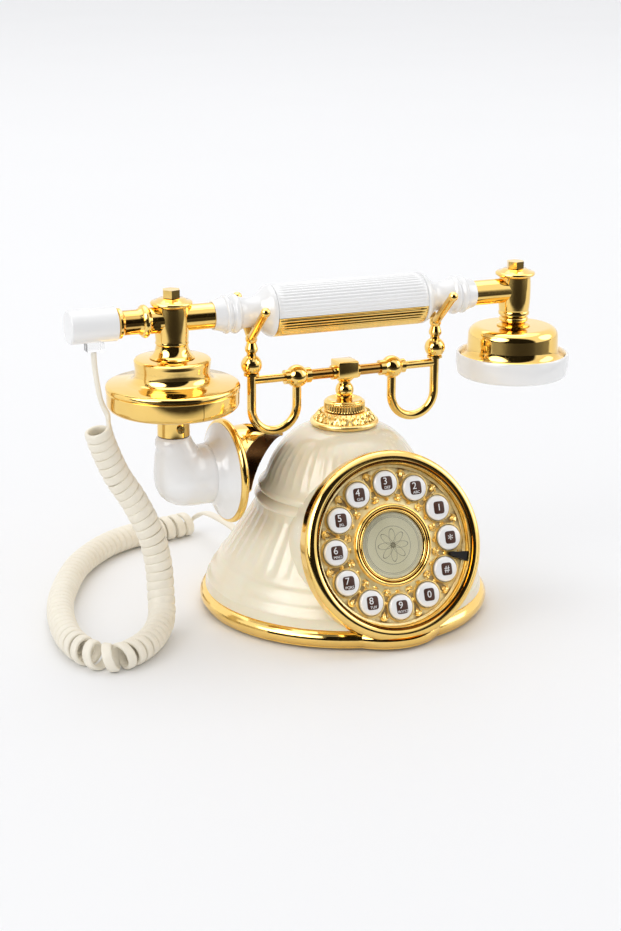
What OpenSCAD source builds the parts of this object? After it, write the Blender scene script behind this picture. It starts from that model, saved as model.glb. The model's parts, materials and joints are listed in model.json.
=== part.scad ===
// Cradle telephone in the French style: a bell-shaped base with a push-button dial,
// a sprung cradle on a central stem, and a handset with a horn transmitter.
// Millimetres. The origin is on the table under the bell's axis, +Z is up,
// the dial faces -Y, and the handset lies along X with its transmitter at -X.

/* [Base] */
// Radius of the gold base rim
base_r = 74.6; // [73:0.1:76]
// Height of the gold base rim's top
rim_top = 10; // [9.5:0.1:10]
// Radius of the lobe that carries the dial
lobe_r = 31.6; // [31:0.1:33]
// Distance of the lobe's centre in front of the bell's axis
lobe_y = 48; // [47:0.5:49]
// Wall of the bell moulding
bell_wall = 2.4; // [2:0.1:2.6]

/* [Dial] */
// Height of the dial's centre, at the button tops
dial_z = 49.6; // [49:0.1:51]
// Distance of the dial's centre in front of the bell's axis
dial_y = 62; // [61:0.5:63]
// How far the dial leans back from upright, in degrees
dial_tilt = 19.5; // [18:0.5:21]
// Largest radius of the bezel
bezel_r = 46.5; // [46:0.1:47]
// Radius of the circle that the buttons stand on
button_circle_r = 30.5; // [30:0.1:31]
// Radius of a button
button_r = 6.2; // [5.8:0.1:6.4]
// How far a button travels
button_travel = 1.8; // [1:0.1:1.8]

/* [Cradle] */
// Height of the crossbar's axis
bar_z = 122.4; // [121:0.1:123]
// Distance of each fork from the bell's axis
fork_x = 50.5; // [50:0.5:51]
// Distance of each crossbar ball from the bell's axis
ball_x = 26.2; // [26:0.1:27]
// How far the cradle rises when the handset is lifted
cradle_travel = 4; // [2:0.5:4]

/* [Handset] */
// Height of the handset's axis
axis_z = 157; // [156.5:0.1:157.5]
// Distance of the transmitter's post from the bell's axis
tx_x = 91.6; // [91:0.1:93]
// Distance of the receiver's post from the bell's axis
rx_x = 96; // [95:0.1:97]
// Radius of the fluted grip
grip_r = 13; // [12.5:0.1:13.5]
// Half the length of the fluted grip
grip_half = 40.5; // [40:0.5:41]
// Angle by which the horn turns away from the handset's line
horn_yaw = 3; // [2:0.5:4]
// Height of the horn's axis
horn_z = 77; // [76:0.5:78]

/* [Cord] */
// Outer radius of the curly cord's coil
coil_r = 7; // [6.5:0.1:7]
// Radius of the solid that stands for the flat lead
lead_r = 2; // [1.5:0.1:2.2]

/* [Hidden] */
$fn = 96;
cream = "#efe3c8";
white = "#f3f1ee";
gold = "#e0b04a";
steel = "#b8b8ba";
dark = "#2b2a2c";
board_green = "#2e6b45";
clearance = 0.3;     // room between pieces that move past each other
running = 0.05;      // radial clearance of the stem in its nut
bore_fit = 0.05;     // radial clearance of fixed pieces on the handset tube
pan_bottom = 1.2;
pan_top = 2.8;
foot_ring_r = 56;
board_z = 14;
bell_foot_z = 10.2;  // the bell stands just above the rim
bell_top_z = 95;
flange_z = 95.1;
nut_z = 102.5;
nut_top_z = 108.2;
stem_r = 4;
ball_r = 5.8;
rod_r = 2.3;
prong_r = 2.2;
post_r = 8;
tube_r = 6.4;
tube_wall = 1.4;
horn_pipe_r = 14.6;
horn_ring_u = 25.5;  // distance of the horn's gold ring from the post, along the horn
scoop_wall = 1.3;
ear_bore_r = 27.2;
board_posts = [[-25, -7], [25, -7], [-25, 35], [25, 35]];
dial_seat = -8.6;    // depth at which the bezel rests, below the button tops
button_names = ["star", "1", "2", "3", "4", "5", "6", "7", "8", "9", "0", "hash"];

// Outer outline of the bell, from its top to its hem, as radius and height
bell_points = [[16, 95], [24, 91.8], [31, 86], [37, 77.4], [41, 67.5], [44.4, 57.5], [50.4, 46.5],
    [57, 36.5], [63.5, 26], [69, 17], [71.4, 12.4], [71.6, 10.2]];
bell_beads = [[41.6, 63.4], [43.6, 58]];
bead_r = 2.6;

// Upper lead: from the plug under the handset's end down to the side of the coil's mouth
top_route = [[-131, 0, 144.6], [-130.8, 0, 138], [-130, 0, 131], [-128.6, 0, 122],
    [-127, 0, 115], [-125.2, 0, 108.6], [-124.9, 0, 106.9]];
// Curly cord: it hangs from the upper lead, then lies on the table in a loop
coil_route = [[-130, 0, 103], [-127.5, 0, 95], [-121.5, 0, 82], [-112.5, 0, 67], [-105, -1, 50],
    [-101.5, -2, 34], [-101.5, -5, 19], [-104, -13, 9.5], [-112, -27, 7], [-124, -41, 7],
    [-138, -48, 7], [-148, -39, 7], [-152, -20, 7], [-150, 4, 7], [-144, 29, 7], [-134, 54, 7],
    [-120, 80, 7], [-102, 101, 7], [-85, 113, 7], [-68, 119, 7], [-53, 122, 7], [-42, 125, 7]];
// Lower lead: from the coil's end into the jack at the back of the base
bottom_route = [[-36.5, 127, 9.5], [-35.5, 120, 13.5], [-35, 110, 16.6], [-34, 97, 18], [-31.5, 84, 17.4],
    [-30, 74.5, 16.2], [-30, 68, 16], [-30, 63.8, 16]];
jack_x = 30;
jack_z = 16;
plug_w = 7.6;
plug_h = 6;

// ---- Helpers ----

// Points of a smooth curve through pts, with n steps between neighbours
function at(pts, i) = pts[max(0, min(len(pts) - 1, i))];
function curve(pts, n) = [for (i = [0:len(pts) - 2], k = [0:n - 1])
    let (t = k / n, a = at(pts, i - 1), b = at(pts, i), c = at(pts, i + 1), d = at(pts, i + 2))
    0.5 * ((2 * b) + (c - a) * t + (2 * a - 5 * b + 4 * c - d) * t * t
        + (3 * b - a - 3 * c + d) * t * t * t), at(pts, len(pts) - 1)];

// Points of a circular arc about a centre
function arc(cx, cy, r, a0, a1, n = 8) = [for (k = [0:n])
    let (a = a0 + (a1 - a0) * k / n) [cx + r * cos(a), cy + r * sin(a)]];

function unit(v) = v / norm(v);
// A direction square to v that stays close to side
function square_to(v, side) = unit(side - v * (v * side));

// A tube of radius r swept along pts, as one closed polyhedron
module sweep(pts, r, sides) {
    n = len(pts);
    along = [for (i = [0:n - 1]) unit(at(pts, i + 1) - at(pts, i - 1))];
    first = square_to(along[0], [0, 1, 0]);
    across = [for (i = 0, s = first; i < n; i = i + 1, s = i < n ? square_to(along[i], s) : s) s];
    rings = [for (i = [0:n - 1], k = [0:sides - 1])
        let (a = 360 * k / sides, up = cross(along[i], across[i]))
        pts[i] + r * (cos(a) * across[i] + sin(a) * up)];
    walls = [for (i = [0:n - 2], k = [0:sides - 1]) let (m = (k + 1) % sides)
        [i * sides + k, (i + 1) * sides + k, (i + 1) * sides + m, i * sides + m]];
    ends = [[for (k = [0:sides - 1]) k], [for (k = [sides - 1:-1:0]) (n - 1) * sides + k]];
    polyhedron(rings, concat(walls, ends));
}

// Places its children on the dial: +Z points out of the dial, and +Y up along it
module on_dial() translate([0, -dial_y, dial_z]) rotate([90 - dial_tilt, 0, 0]) children();

// Places its children along the handset's axis: +Z points to +X
module on_axis(x = 0) translate([x, 0, axis_z]) rotate([0, 90, 0]) children();

// Places its children along the horn's axis: +Z points out of the horn
module on_horn() translate([-tx_x, 0, horn_z]) rotate([0, 0, horn_yaw]) rotate([0, 90, 0]) children();

// A turned piece from an outline of radius and height
module turned(outline) rotate_extrude() polygon(outline);

module both_sides() { children(); mirror([1, 0, 0]) children(); }

module rod(from, to, r1, r2) {
    d = to - from;
    translate(from) rotate([0, acos(d[2] / norm(d)), atan2(d[1], d[0])])
        cylinder(h = norm(d), r1 = r1, r2 = r2);
}

// ---- Base ----

function rim_outline(r, drop = 0) = concat([[r - 5, 1.5]], [[r - 2, 1.5]],
    arc(r - 4.3, 5.6, 4.3, -58, 74, 10), [[r - 3.4, rim_top]], [[r - 5, rim_top]]);

module rim_plan(inset) {
    circle(r = base_r - inset);
    translate([0, -lobe_y]) circle(r = lobe_r - inset);
}

module base_rim() color(gold) difference() {
    union() {
        turned(rim_outline(base_r));
        translate([0, -lobe_y, 0]) turned(rim_outline(lobe_r));
    }
    translate([0, 0, -1]) linear_extrude(rim_top + 2) rim_plan(5);
    on_dial() translate([0, 0, dial_seat]) cylinder(h = 20, r = bezel_r + clearance);
}

module base_pan() color(dark) difference() {
    union() {
        translate([0, 0, pan_bottom]) linear_extrude(pan_top - pan_bottom) rim_plan(5.2);
        for (p = board_posts) translate([p[0], p[1], pan_top - 0.5])
            cylinder(h = board_z - pan_top + 0.5, r = 3);
    }
    for (p = board_posts) translate([p[0], p[1], pan_top]) cylinder(h = 20, r = 1.2);
    for (a = [45:90:315]) rotate(a) translate([foot_ring_r - 10, 0, 0]) cylinder(h = 9, r = 1.7);
    on_dial() translate([0, 0, dial_seat]) cylinder(h = 20, r = bezel_r + clearance);
}

module rubber_feet() color(dark) {
    for (a = [45:90:315]) rotate(a) translate([foot_ring_r, 0, 0])
        turned(concat([[0, 0]], arc(5.4, 0.4, 0.4, -90, 0, 3), [[5.8, pan_bottom], [0, pan_bottom]]));
    turned(concat([[0, 0]], arc(8.6, 0.4, 0.4, -90, 0, 3), [[9, pan_bottom], [0, pan_bottom]]));
}

module base_screws() color(steel)
    for (a = [45:90:315]) rotate(a) translate([foot_ring_r - 10, 0, 0]) difference() {
        union() {
            translate([0, 0, 0.4]) cylinder(h = pan_bottom - 0.4, r = 3);
            translate([0, 0, pan_bottom]) cylinder(h = 7, r = 1.5);
        }
        for (t = [0, 90]) rotate(t) translate([-2, -0.3, 0]) cube([4, 0.6, 0.8]);
    }

function bell_outline() = curve(bell_points, 4);

module bell_body(inset) {
    outer = [for (p = bell_outline()) [max(p[0] - inset, 1), p[1] - (p[0] < 30 ? inset : inset * 0.6)]];
    turned(concat([[0, bell_top_z - inset]], outer, [[outer[len(outer) - 1][0], -5], [0, -5]]));
}

module bell_shell() color(cream) difference() {
    union() {
        bell_body(0);
        for (b = bell_beads) rotate_extrude() translate(b) circle(r = bead_r, $fn = 32);
        on_dial() translate([0, 0, -52]) cylinder(h = 44, r = 43);
    }
    bell_body(bell_wall);
    on_dial() translate([0, 0, -60]) cylinder(h = 70, r = 40.4);
    on_dial() translate([0, 0, -8]) cylinder(h = 20, r = bezel_r + clearance);
    translate([0, 0, 80]) cylinder(h = 20, r = 5.8);
    translate([-100, -100, -40]) cube([200, 200, 40 + bell_foot_z]);
    both_sides() translate([jack_x - 5.6, 40, jack_z - 4.2]) cube([11.2, 40, 8.6]);
}

module collar_flange() color(gold) turned(concat([[5.8, flange_z], [16.6, flange_z]],
    arc(15.9, 97.1, 2, -60, 50, 8),
    [[14.6, 100.6], [13.2, 101.9], [11.6, nut_z - 0.05], [5.8, nut_z - 0.05]]));

module ring_nut() color(gold) difference() {
    translate([0, 0, nut_z]) union() {
        cylinder(h = 4.9, r = 10.6);
        translate([0, 0, 4.9]) cylinder(h = 0.8, r1 = 10.6, r2 = 9.4);
        translate([0, 0, -8.6]) cylinder(h = 8.6, r = 5.7);
    }
    translate([0, 0, 80]) cylinder(h = 40, r = stem_r + running);
    translate([0, 0, nut_top_z - 1.4]) cylinder(h = 2, r1 = stem_r + running, r2 = 8);
}

module ballast() color(steel) difference() {
    translate([0, 18, pan_top]) cylinder(h = 8, r = 26);
    translate([0, 18, 0]) cylinder(h = 20, r = 4.5);
    for (x = [-25, 25]) translate([x, -7, 0]) cylinder(h = 20, r = 4);
}

module main_board() color(board_green) difference() {
    translate([-30, -12, board_z]) cube([60, 52, 1.6]);
    for (p = board_posts) translate([p[0], p[1], 10]) cylinder(h = 9, r = 1.6);
}

module ringer() color(dark) translate([0, 26, board_z + 1.7]) difference() {
    cylinder(h = 9, r = 11);
    translate([0, 0, 5]) cylinder(h = 6, r = 2);
}

module hook_switch() color(steel) difference() {
    union() {
        translate([-16, -6, 68]) cube([32, 12, 1.6]);
        for (x = [-14, 14]) translate([x, 0, board_z + 1.7]) cylinder(h = 68 - board_z - 1.7, r = 2.4);
        translate([6.5, -5, 52]) cube([6, 10, 16]);
    }
    translate([0, 0, 60]) cylinder(h = 12, r = 3.4);
}

module jacks() color(dark) both_sides() translate([jack_x, 0, jack_z]) difference() {
    translate([-5.4, 40.2, -4]) cube([10.8, 17.8, 8.2]);
    translate([-4.1, 48, -3.3]) cube([8.2, 30, 6.6]);
}

// ---- Dial ----

module dial_bezel() color(gold) on_dial() turned(concat([[39.7, -8], [bezel_r, -8]],
    [[bezel_r + 0.1, -5.5], [bezel_r - 0.5, -2.4]],
    arc(42.6, -0.4, 3, 20, 160, 12), [[39.7, -1]]));

module dial_plate() color(gold) on_dial() difference() {
    translate([0, 0, -4.5]) cylinder(h = 1.5, r = 39.5);
    for (k = [0:11]) rotate(30 * k) translate([button_circle_r, 0, -5])
        cylinder(h = 3, r = button_r + clearance);
}

module centre_ring() color(gold) on_dial() turned(concat([[16.3, -3], [20.4, -3], [20.4, -1.6]],
    arc(18.4, -1.2, 1.7, 0, 180, 10), [[16.3, -1.6]]));

module dial_card() color("#dfe0c4") on_dial() translate([0, 0, -3]) cylinder(h = 0.5, r = 16.1);

module dial_lens() color([0.9, 0.95, 0.9, 0.4]) on_dial()
    turned(concat([[0, -2.5], [16.1, -2.5], [16.1, -1.9]], arc(0, -53.4, 53.94, 72.6, 90, 8)));

module finger_stop() color(dark) on_dial() rotate(-15) difference() {
    translate([0, 0, -2.98]) linear_extrude(3.4) polygon([[31, -0.9], [39.4, -2.4], [39.4, 2.4], [31, 0.9]]);
    for (s = [-15, 15]) rotate(s) translate([button_circle_r, 0, -5]) cylinder(h = 9, r = button_r + 0.4);
}

module keypad_pad() color("#8d8a85") on_dial() difference() {
    translate([0, 0, -9.6]) cylinder(h = 1.2, r = 38);
    translate([0, 0, -12]) cylinder(h = 6, r = 20);
}

module keypad_board() color(board_green) on_dial() difference() {
    translate([0, 0, -11.3]) cylinder(h = 1.6, r = 38);
    translate([0, 0, -12]) cylinder(h = 6, r = 4);
}

// A button: a domed cap that passes through the plate, with a flange that holds it in
module push_button(k) color(white) on_dial() rotate(30 * k) translate([button_circle_r, 0, 0])
    turned(concat([[0, -6.2], [button_r + 0.9, -6.2], [button_r + 0.9, -5.1], [button_r, -5.1]],
        arc(button_r - 1.1, -1.6, 1.1, 0, 70, 5), [[3.2, -0.12], [0, 0]]));

// ---- Cradle ----

module cradle_stem() color(gold) union() {
    turned(concat([[0, 62], [3, 62], [3, 84], [5.4, 84], [5.4, 87.5], [stem_r, 87.5], [stem_r, 110.4]],
        arc(0, 112.8, 4.7, -30, 50, 8), [[3, 117.2], [0, 117.2]]));
}

module cradle_block() color(gold) union() {
    translate([-5.5, -5.5, 119.6]) cube([11, 11, 8.9]);
    translate([0, 0, 117.2]) cylinder(h = 2.4, r1 = 3.2, r2 = 5.3);
}

module crossbar_half() difference() {
    union() {
        rod([5.5, 0, bar_z], [ball_x, 0, bar_z], 2.7, 2.7);
        rod([5.5, 0, bar_z], [7.3, 0, bar_z], 3.7, 3.7);
        rod([ball_x - 7, 0, bar_z], [ball_x - 4, 0, bar_z], 3.9, 3.9);
        translate([ball_x, 0, bar_z]) sphere(r = ball_r);
        rod([ball_x + 4, 0, bar_z], [ball_x + 6.8, 0, bar_z], 3.6, 3.6);
        rod([ball_x, 0, bar_z], [fork_x, 0, bar_z], 2.05, 2.05);
    }
    translate([fork_x, 0, 100]) cylinder(h = 60, r = rod_r);
}

module cradle_bars() color(gold) both_sides() crossbar_half();

module u_loop() {
    loop_r = (fork_x - ball_x) / 2;
    difference() {
        translate([(fork_x + ball_x) / 2, 0, 107.6]) union() {
            rotate([-90, 0, 0]) rotate_extrude(angle = 180)
                translate([loop_r, 0]) circle(r = rod_r, $fn = 48);
            translate([-loop_r, 0, 0]) cylinder(h = bar_z - 108, r = rod_r);
            translate([loop_r, 0, 0]) cylinder(h = 17.4, r = rod_r);
        }
        translate([ball_x, 0, bar_z]) sphere(r = ball_r);
    }
}

module u_loops() color(gold) both_sides() u_loop();

module fork() {
    root = [fork_x, 0, 143.6];
    translate([fork_x, 0, 0]) turned(concat([[0, 125], [3.9, 125], [3.9, 126.2], [2.6, 126.4]],
        arc(0, 130.4, 5.3, -46, 62, 10),
        [[2.3, 136.2], [3.2, 137.6], [3.3, 138.8], [2.1, 142.4], [0, 142.4]]));
    translate(root) sphere(r = 3);
    for (tip = [[fork_x, -19.2, 160.6], [fork_x, 19.4, 160.8]]) {
        rod(root, tip, prong_r, prong_r);
        translate(tip) sphere(r = prong_r + 0.25);
    }
}

module forks() color(gold) both_sides() fork();

module cradle_spring() color(steel) {
    turns = 7;
    steps = 14;
    sweep([for (i = [0:turns * steps]) [4.6 * cos(360 * i / steps), 4.6 * sin(360 * i / steps),
        70.4 + 12.8 * i / (turns * steps)]], 0.4, 6);
}

// ---- Handset ----

module grip_half_shell(upper) intersection() {
    on_axis(-grip_half) difference() {
        cylinder(h = 2 * grip_half, r = grip_r);
        translate([0, 0, -1]) cylinder(h = 2 * grip_half + 2, r = tube_r + bore_fit);
    }
    translate([-60, -30, upper ? axis_z - 1.6 : axis_z - 41.6]) cube([120, 60, 40]);
}

module grip() color(white) grip_half_shell(true);

module grip_strip() color(gold) grip_half_shell(false);

module grip_ends() color(white) both_sides() on_axis() difference() {
    turned(concat([[0, grip_half]], [for (p = curve([[13, grip_half], [12.4, 41.8], [9.6, 44], [7.4, 47],
        [7.3, 51.5], [7.5, 56.6], [8.3, 59.2]], 3)) p],
        arc(8.1, 61.8, 1.8, -75, 75, 8), curve([[8.2, 64.6], [7.6, 68], [7.2, 71]], 3), [[0, 71]]));
    cylinder(h = 100, r = tube_r + bore_fit);
}

module handset_tube() color(gold) difference() {
    on_axis(-tx_x) cylinder(h = tx_x + rx_x, r = tube_r);
    on_axis(-tx_x) cylinder(h = tx_x + rx_x, r = tube_r - tube_wall);
    for (x = [-tx_x, rx_x]) translate([x, 0, 130]) cylinder(h = 50, r = post_r);
}

module transmitter_post() color(gold) translate([-tx_x, 0, 0]) turned(concat([[0, 138.1], [11.2, 138.1]],
    curve([[11.2, 138.6], [9, 140], [8, 142.6], [7.7, 145]], 3), [[8.3, 145.2], [8.3, 146], [post_r, 146.2],
    [post_r, 163.4]], arc(9, 164.8, 1.2, -90, 90, 6), [[7.4, 166.2], [5.6, 167.6], [0, 167.6]]));

module receiver_post() color(gold) translate([rx_x, 0, 0]) turned(concat([[0, 138.3], [8.6, 138.3]],
    [[8.6, 139], [6, 139.8], [6, 140.8]], arc(6.4, 141.9, 1.2, -80, 80, 6), [[6.4, 143.2], [7.9, 144.2],
    [7.9, 145.6], [post_r, 147], [post_r, 164.2]], arc(9, 165.6, 1.2, -90, 90, 6),
    [[7.4, 167], [5.6, 168.4], [0, 168.4]]));

module handset_fasteners() color(gold) {
    translate([-tx_x, 0, 167.7]) rotate(15) cylinder(h = 3.9, r = 4.6, $fn = 6);
    translate([rx_x, 0, 168.5]) rotate(10) cylinder(h = 3.6, r = 4.6, $fn = 6);
    translate([-101.2, -6.4, axis_z - 1.4]) rotate([90, 0, 0]) difference() {
        cylinder(h = 1, r = 1.9);
        translate([-2, -0.3, 0.5]) cube([4, 0.6, 1]);
    }
    translate([-tx_x, 0, 103.4]) rotate([90, 0, 6]) translate([0, 0, post_r + 0.02]) difference() {
        cylinder(h = 0.8, r = 2);
        for (t = [0, 90]) rotate(t) translate([-1.3, -0.3, 0.3]) cube([2.6, 0.6, 1]);
    }
}

module cord_sleeve() color(gold) difference() {
    on_axis() turned(concat([[3.5, -120], [6.6, -120], [7.4, -118.9], [7.4, -117.8], [6, -116.4], [6, -109]],
        arc(6.2, -105.6, 1.9, -75, 75, 8), [[6.4, -103.2], [6.4, -95], [3.5, -95]]));
    translate([-tx_x, 0, 130]) cylinder(h = 50, r = post_r);
}

module plug_housing() color(white) difference() {
    on_axis() turned(concat([[0, -143.4]], arc(7.2, -142.3, 1.1, -90, 0, 4), [[8.3, -120.1], [0, -120.1]]));
    translate([-160, -20, 130]) cube([60, 40, 19.4]);
    translate([-131 - plug_w / 2 - 0.2, -plug_h / 2 - 0.2, 140]) cube([plug_w + 0.4, plug_h + 0.4, 16.4]);
}

module transmitter_cup() color(gold) translate([-tx_x, 0, 0]) difference() {
    turned(concat([[0, 138], [17.6, 138]], [[18.8, 137.2], [18.8, 136]],
        curve([[18.2, 135], [16, 133.4], [15.6, 130.4], [17, 127.6], [21.6, 125.4]], 3),
        [[32.2, 125.8], [32.8, 125.2], [32.8, 122.4], [0, 122.4]]));
    turned([[0, 136], [14, 136], [13.4, 130], [16, 125], [29, 123.6], [29, 120], [0, 120]]);
}

module transmitter_ring() color(gold) translate([-tx_x, 0, 0]) difference() {
    turned(concat([[0, 98.6], [post_r, 98.6], [post_r, 112.2], [28, 112.2]],
        arc(28.6, 116.2, 4, -90, -10, 8), [[32.8, 122.3], [0, 122.3]]));
    turned([[0, 97], [5.8, 97], [5.8, 114], [29.4, 114], [30.6, 116], [30.6, 125], [0, 125]]);
}

module mic_capsule() color(dark) translate([-tx_x, 0, 114.3]) difference() {
    cylinder(h = 7, r = 13);
    for (a = [0:60:300]) rotate(a) translate([4, 0, -1]) cylinder(h = 3, r = 0.8);
}

// The elbow's body: a round knee between the collar and the flared mouth
module elbow_body(inset) {
    knee = horn_pipe_r - inset;
    translate([-tx_x, 0, horn_z]) sphere(r = horn_pipe_r - inset + 0.6);
    translate([-tx_x, 0, 88]) cylinder(h = 10.5, r1 = 12.2 - inset, r2 = post_r - inset);
    translate([-tx_x, 0, horn_z]) cylinder(h = 11.05, r1 = horn_pipe_r + 0.2 - inset, r2 = 12.2 - inset);
    on_horn() cylinder(h = 16.5, r = knee);
    on_horn() turned(concat([[0, 16.4]], curve([[knee, 16.4], [knee + 0.9, 19.5], [knee + 4, 23],
        [knee + 9.2, horn_ring_u]], 4), [[0, horn_ring_u]]));
}

module horn_elbow() color(white) difference() {
    elbow_body(0);
    difference() {
        elbow_body(1.8);
        translate([-tx_x - 30, -30, 96.4]) cube([60, 60, 10]);
    }
    translate([-tx_x, 0, 90]) cylinder(h = 20, r = 5.4);
    on_horn() translate([0, 0, 10]) cylinder(h = 17, r = horn_pipe_r - 1.8);
}

// Outer outline of the scoop, as radius and distance along the horn
scoop_points = [[19.8, horn_ring_u + 0.1], [20.4, 29], [21.5, 33], [22, 37], [21.9, 42], [20.1, 48],
    [17.7, 54], [14.6, 61]];

// Everything beyond a plane that crosses the horn's axis at a distance along it
module beyond(lean, dip, distance) rotate([lean, dip, 0])
    translate([-60, -60, distance * cos(lean) * cos(dip)]) cube([120, 120, 80]);

module horn_scoop() color(gold) difference() {
    on_horn() union() {
        turned(concat([[20.4, horn_ring_u + 0.1], [24.6, horn_ring_u + 0.1]],
            arc(24.2, horn_ring_u + 2, 1.8, -70, 70, 8), [[20.4, horn_ring_u + 3.9]]));
        outer = curve(scoop_points, 3);
        turned(concat(outer, [for (k = [len(outer) - 1:-1:0]) [outer[k][0] - scoop_wall, outer[k][1]]]));
    }
    // The mouth is cut slantwise, so the side away from the dial reaches furthest
    on_horn() beyond(60, 0, 60);
    // The lower edge is cut back to keep clear of the bell
    on_horn() beyond(10, 26.5, 53);
    on_horn() beyond(18.5, 42, 47);
    // A notch in the top lets the loop and the fork of the cradle pass when the handset is lifted
    translate([-fork_x - rod_r - 0.5, -6, horn_z]) cube([40, 12, 30]);
}

module receiver_cup() color(gold) translate([rx_x, 0, 0]) difference() {
    turned(concat([[0, 138.2]], arc(19.6, 134, 4.2, 90, 0, 8), [[23.8, 126.6],
        [24.6, 123.8], [ear_bore_r - 0.3, 122.2], [ear_bore_r - 0.3, 121], [0, 121]]));
    turned([[0, 136.4], [19.4, 136.4], [21.8, 134], [21.8, 120], [0, 120]]);
}

module ear_ring() color(white) translate([rx_x, 0, 0]) difference() {
    turned(concat([[0, 112], [26.4, 112]], arc(26.4, 114.4, 2.4, -90, 0, 6), [[29.4, 124], [0, 124]]));
    translate([0, 0, 115]) cylinder(h = 12, r = ear_bore_r);
    turned([[0, 110], [23, 110], [23, 112], [14, 113.2], [0, 113.6]]);
    for (a = [0:60:300]) rotate(a) translate([5, 0, 110]) cylinder(h = 8, r = 1);
    translate([0, 0, 110]) cylinder(h = 8, r = 1);
}

module speaker_capsule() color(dark) translate([rx_x, 0, 115.2]) union() {
    cylinder(h = 4, r = 21);
    translate([0, 0, 4]) cylinder(h = 5, r = 12);
}

// ---- Cord ----

module top_plug() color([0.9, 0.9, 0.9, 0.5]) union() {
    translate([-131 - plug_w / 2, -plug_h / 2, 144.8]) cube([plug_w, plug_h, 10.8]);
    translate([-131 + plug_w / 2, -1.5, 144.8]) cube([1.2, 3, 3.6]);
}

module top_lead() color(cream) sweep(curve(top_route, 3), lead_r, 8);

module cord_coil() color(cream) sweep(curve(coil_route, 3), coil_r, 12);

module bottom_lead() color(cream) sweep(curve(bottom_route, 3), lead_r, 8);

module bottom_plug() color([0.9, 0.9, 0.9, 0.5])
    translate([-jack_x - plug_w / 2, 50, jack_z - plug_h / 2]) cube([plug_w, 13.6, plug_h]);

rubber_feet();
base_pan();
base_screws();
base_rim();
bell_shell();
collar_flange();
ring_nut();
ballast();
main_board();
ringer();
hook_switch();
jacks();
dial_bezel();
dial_plate();
centre_ring();
dial_card();
dial_lens();
finger_stop();
keypad_pad();
keypad_board();
for (k = [0:11]) push_button(k);
cradle_stem();
cradle_block();
cradle_bars();
u_loops();
forks();
cradle_spring();
grip();
grip_strip();
grip_ends();
handset_tube();
transmitter_post();
receiver_post();
handset_fasteners();
cord_sleeve();
plug_housing();
transmitter_cup();
transmitter_ring();
mic_capsule();
horn_elbow();
horn_scoop();
receiver_cup();
ear_ring();
speaker_capsule();
top_plug();
top_lead();
cord_coil();
bottom_lead();
bottom_plug();
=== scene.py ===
# %% [markdown]
# # A cradle telephone in the French style
# The telephone stands on a pale floor: a fluted cream bell with a round dial, a gold cradle on top,
# and a handset with a horn for the voice. The sizes and places come from a finished mechanical
# model, which is loaded first. This lesson gives that model its looks: it replaces plain solids by
# detailed meshes, and gives every surface a material made of nodes.

# %% Load the frame
import json
import math
import bmesh
import bpy
from mathutils import Matrix, Quaternion, Vector


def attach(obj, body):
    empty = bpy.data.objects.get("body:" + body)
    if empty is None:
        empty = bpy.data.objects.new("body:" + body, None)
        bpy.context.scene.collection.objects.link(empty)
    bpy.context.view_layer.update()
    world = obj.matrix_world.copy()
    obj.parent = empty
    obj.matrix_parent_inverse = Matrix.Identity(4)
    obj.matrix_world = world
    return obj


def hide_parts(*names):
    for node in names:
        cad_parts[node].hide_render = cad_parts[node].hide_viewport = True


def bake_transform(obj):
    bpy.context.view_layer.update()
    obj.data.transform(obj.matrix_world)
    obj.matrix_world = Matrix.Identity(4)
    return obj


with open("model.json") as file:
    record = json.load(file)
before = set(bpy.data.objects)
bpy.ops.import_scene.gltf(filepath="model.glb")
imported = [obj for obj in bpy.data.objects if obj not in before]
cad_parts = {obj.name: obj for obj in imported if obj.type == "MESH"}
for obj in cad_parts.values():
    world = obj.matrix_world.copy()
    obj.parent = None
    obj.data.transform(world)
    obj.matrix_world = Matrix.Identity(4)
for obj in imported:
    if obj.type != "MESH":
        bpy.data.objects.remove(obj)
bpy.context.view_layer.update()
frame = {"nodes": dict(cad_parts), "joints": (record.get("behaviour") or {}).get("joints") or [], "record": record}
MM = 0.001

# %% [markdown]
# ## The camera
# The telephone is seen from its front, a little from the left and from above. A long lens at almost
# a metre keeps the proportions calm. The camera is aimed with a tracking rotation, then given
# the slight tilt that a hand-held picture has.

# %% Camera
EYE = Vector((-374.4, -842.0, 356.5)) * MM
AIM = Vector((-27, -20, 81.3)) * MM
LENS_MM = 72.6
SENSOR_MM = 36
TILT = math.radians(0.27)

camera = bpy.data.objects.new("camera", bpy.data.cameras.new("camera"))
bpy.context.scene.collection.objects.link(camera)
camera.data.sensor_fit = "VERTICAL"
camera.data.sensor_height = SENSOR_MM
camera.data.lens = LENS_MM
camera.location = EYE
camera.rotation_mode = "QUATERNION"
camera.rotation_quaternion = (AIM - EYE).to_track_quat("-Z", "Y") @ Quaternion((0, 0, 1), TILT)
bpy.context.scene.camera = camera
print("camera at", [round(v, 3) for v in camera.location], "lens", LENS_MM)

# %% [markdown]
# ## Small helpers for modelling
# Nearly every part of this telephone is turned on a lathe, so the main helper draws half an outline
# as a chain of edges and spins it round an axis. The others place a finished mesh, join pieces and
# smooth them. Every helper leaves its object at the origin, unturned and unscaled.

# %% Helpers
def clear_selection():
    """Leave edit mode and deselect everything."""
    if bpy.context.object and bpy.context.object.mode != "OBJECT":
        bpy.ops.object.mode_set(mode="OBJECT")
    bpy.ops.object.select_all(action="DESELECT")


def take(obj):
    """Make obj the only selected object and the active one."""
    clear_selection()
    obj.select_set(True)
    bpy.context.view_layer.objects.active = obj
    return obj


def settle(obj, place=None):
    """Move a finished object by a matrix, and write its place into its mesh."""
    take(obj)
    if place is not None:
        obj.matrix_world = place @ obj.matrix_world
        bpy.context.view_layer.update()
    bpy.ops.object.transform_apply(location=True, rotation=True, scale=True)
    return obj


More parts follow.
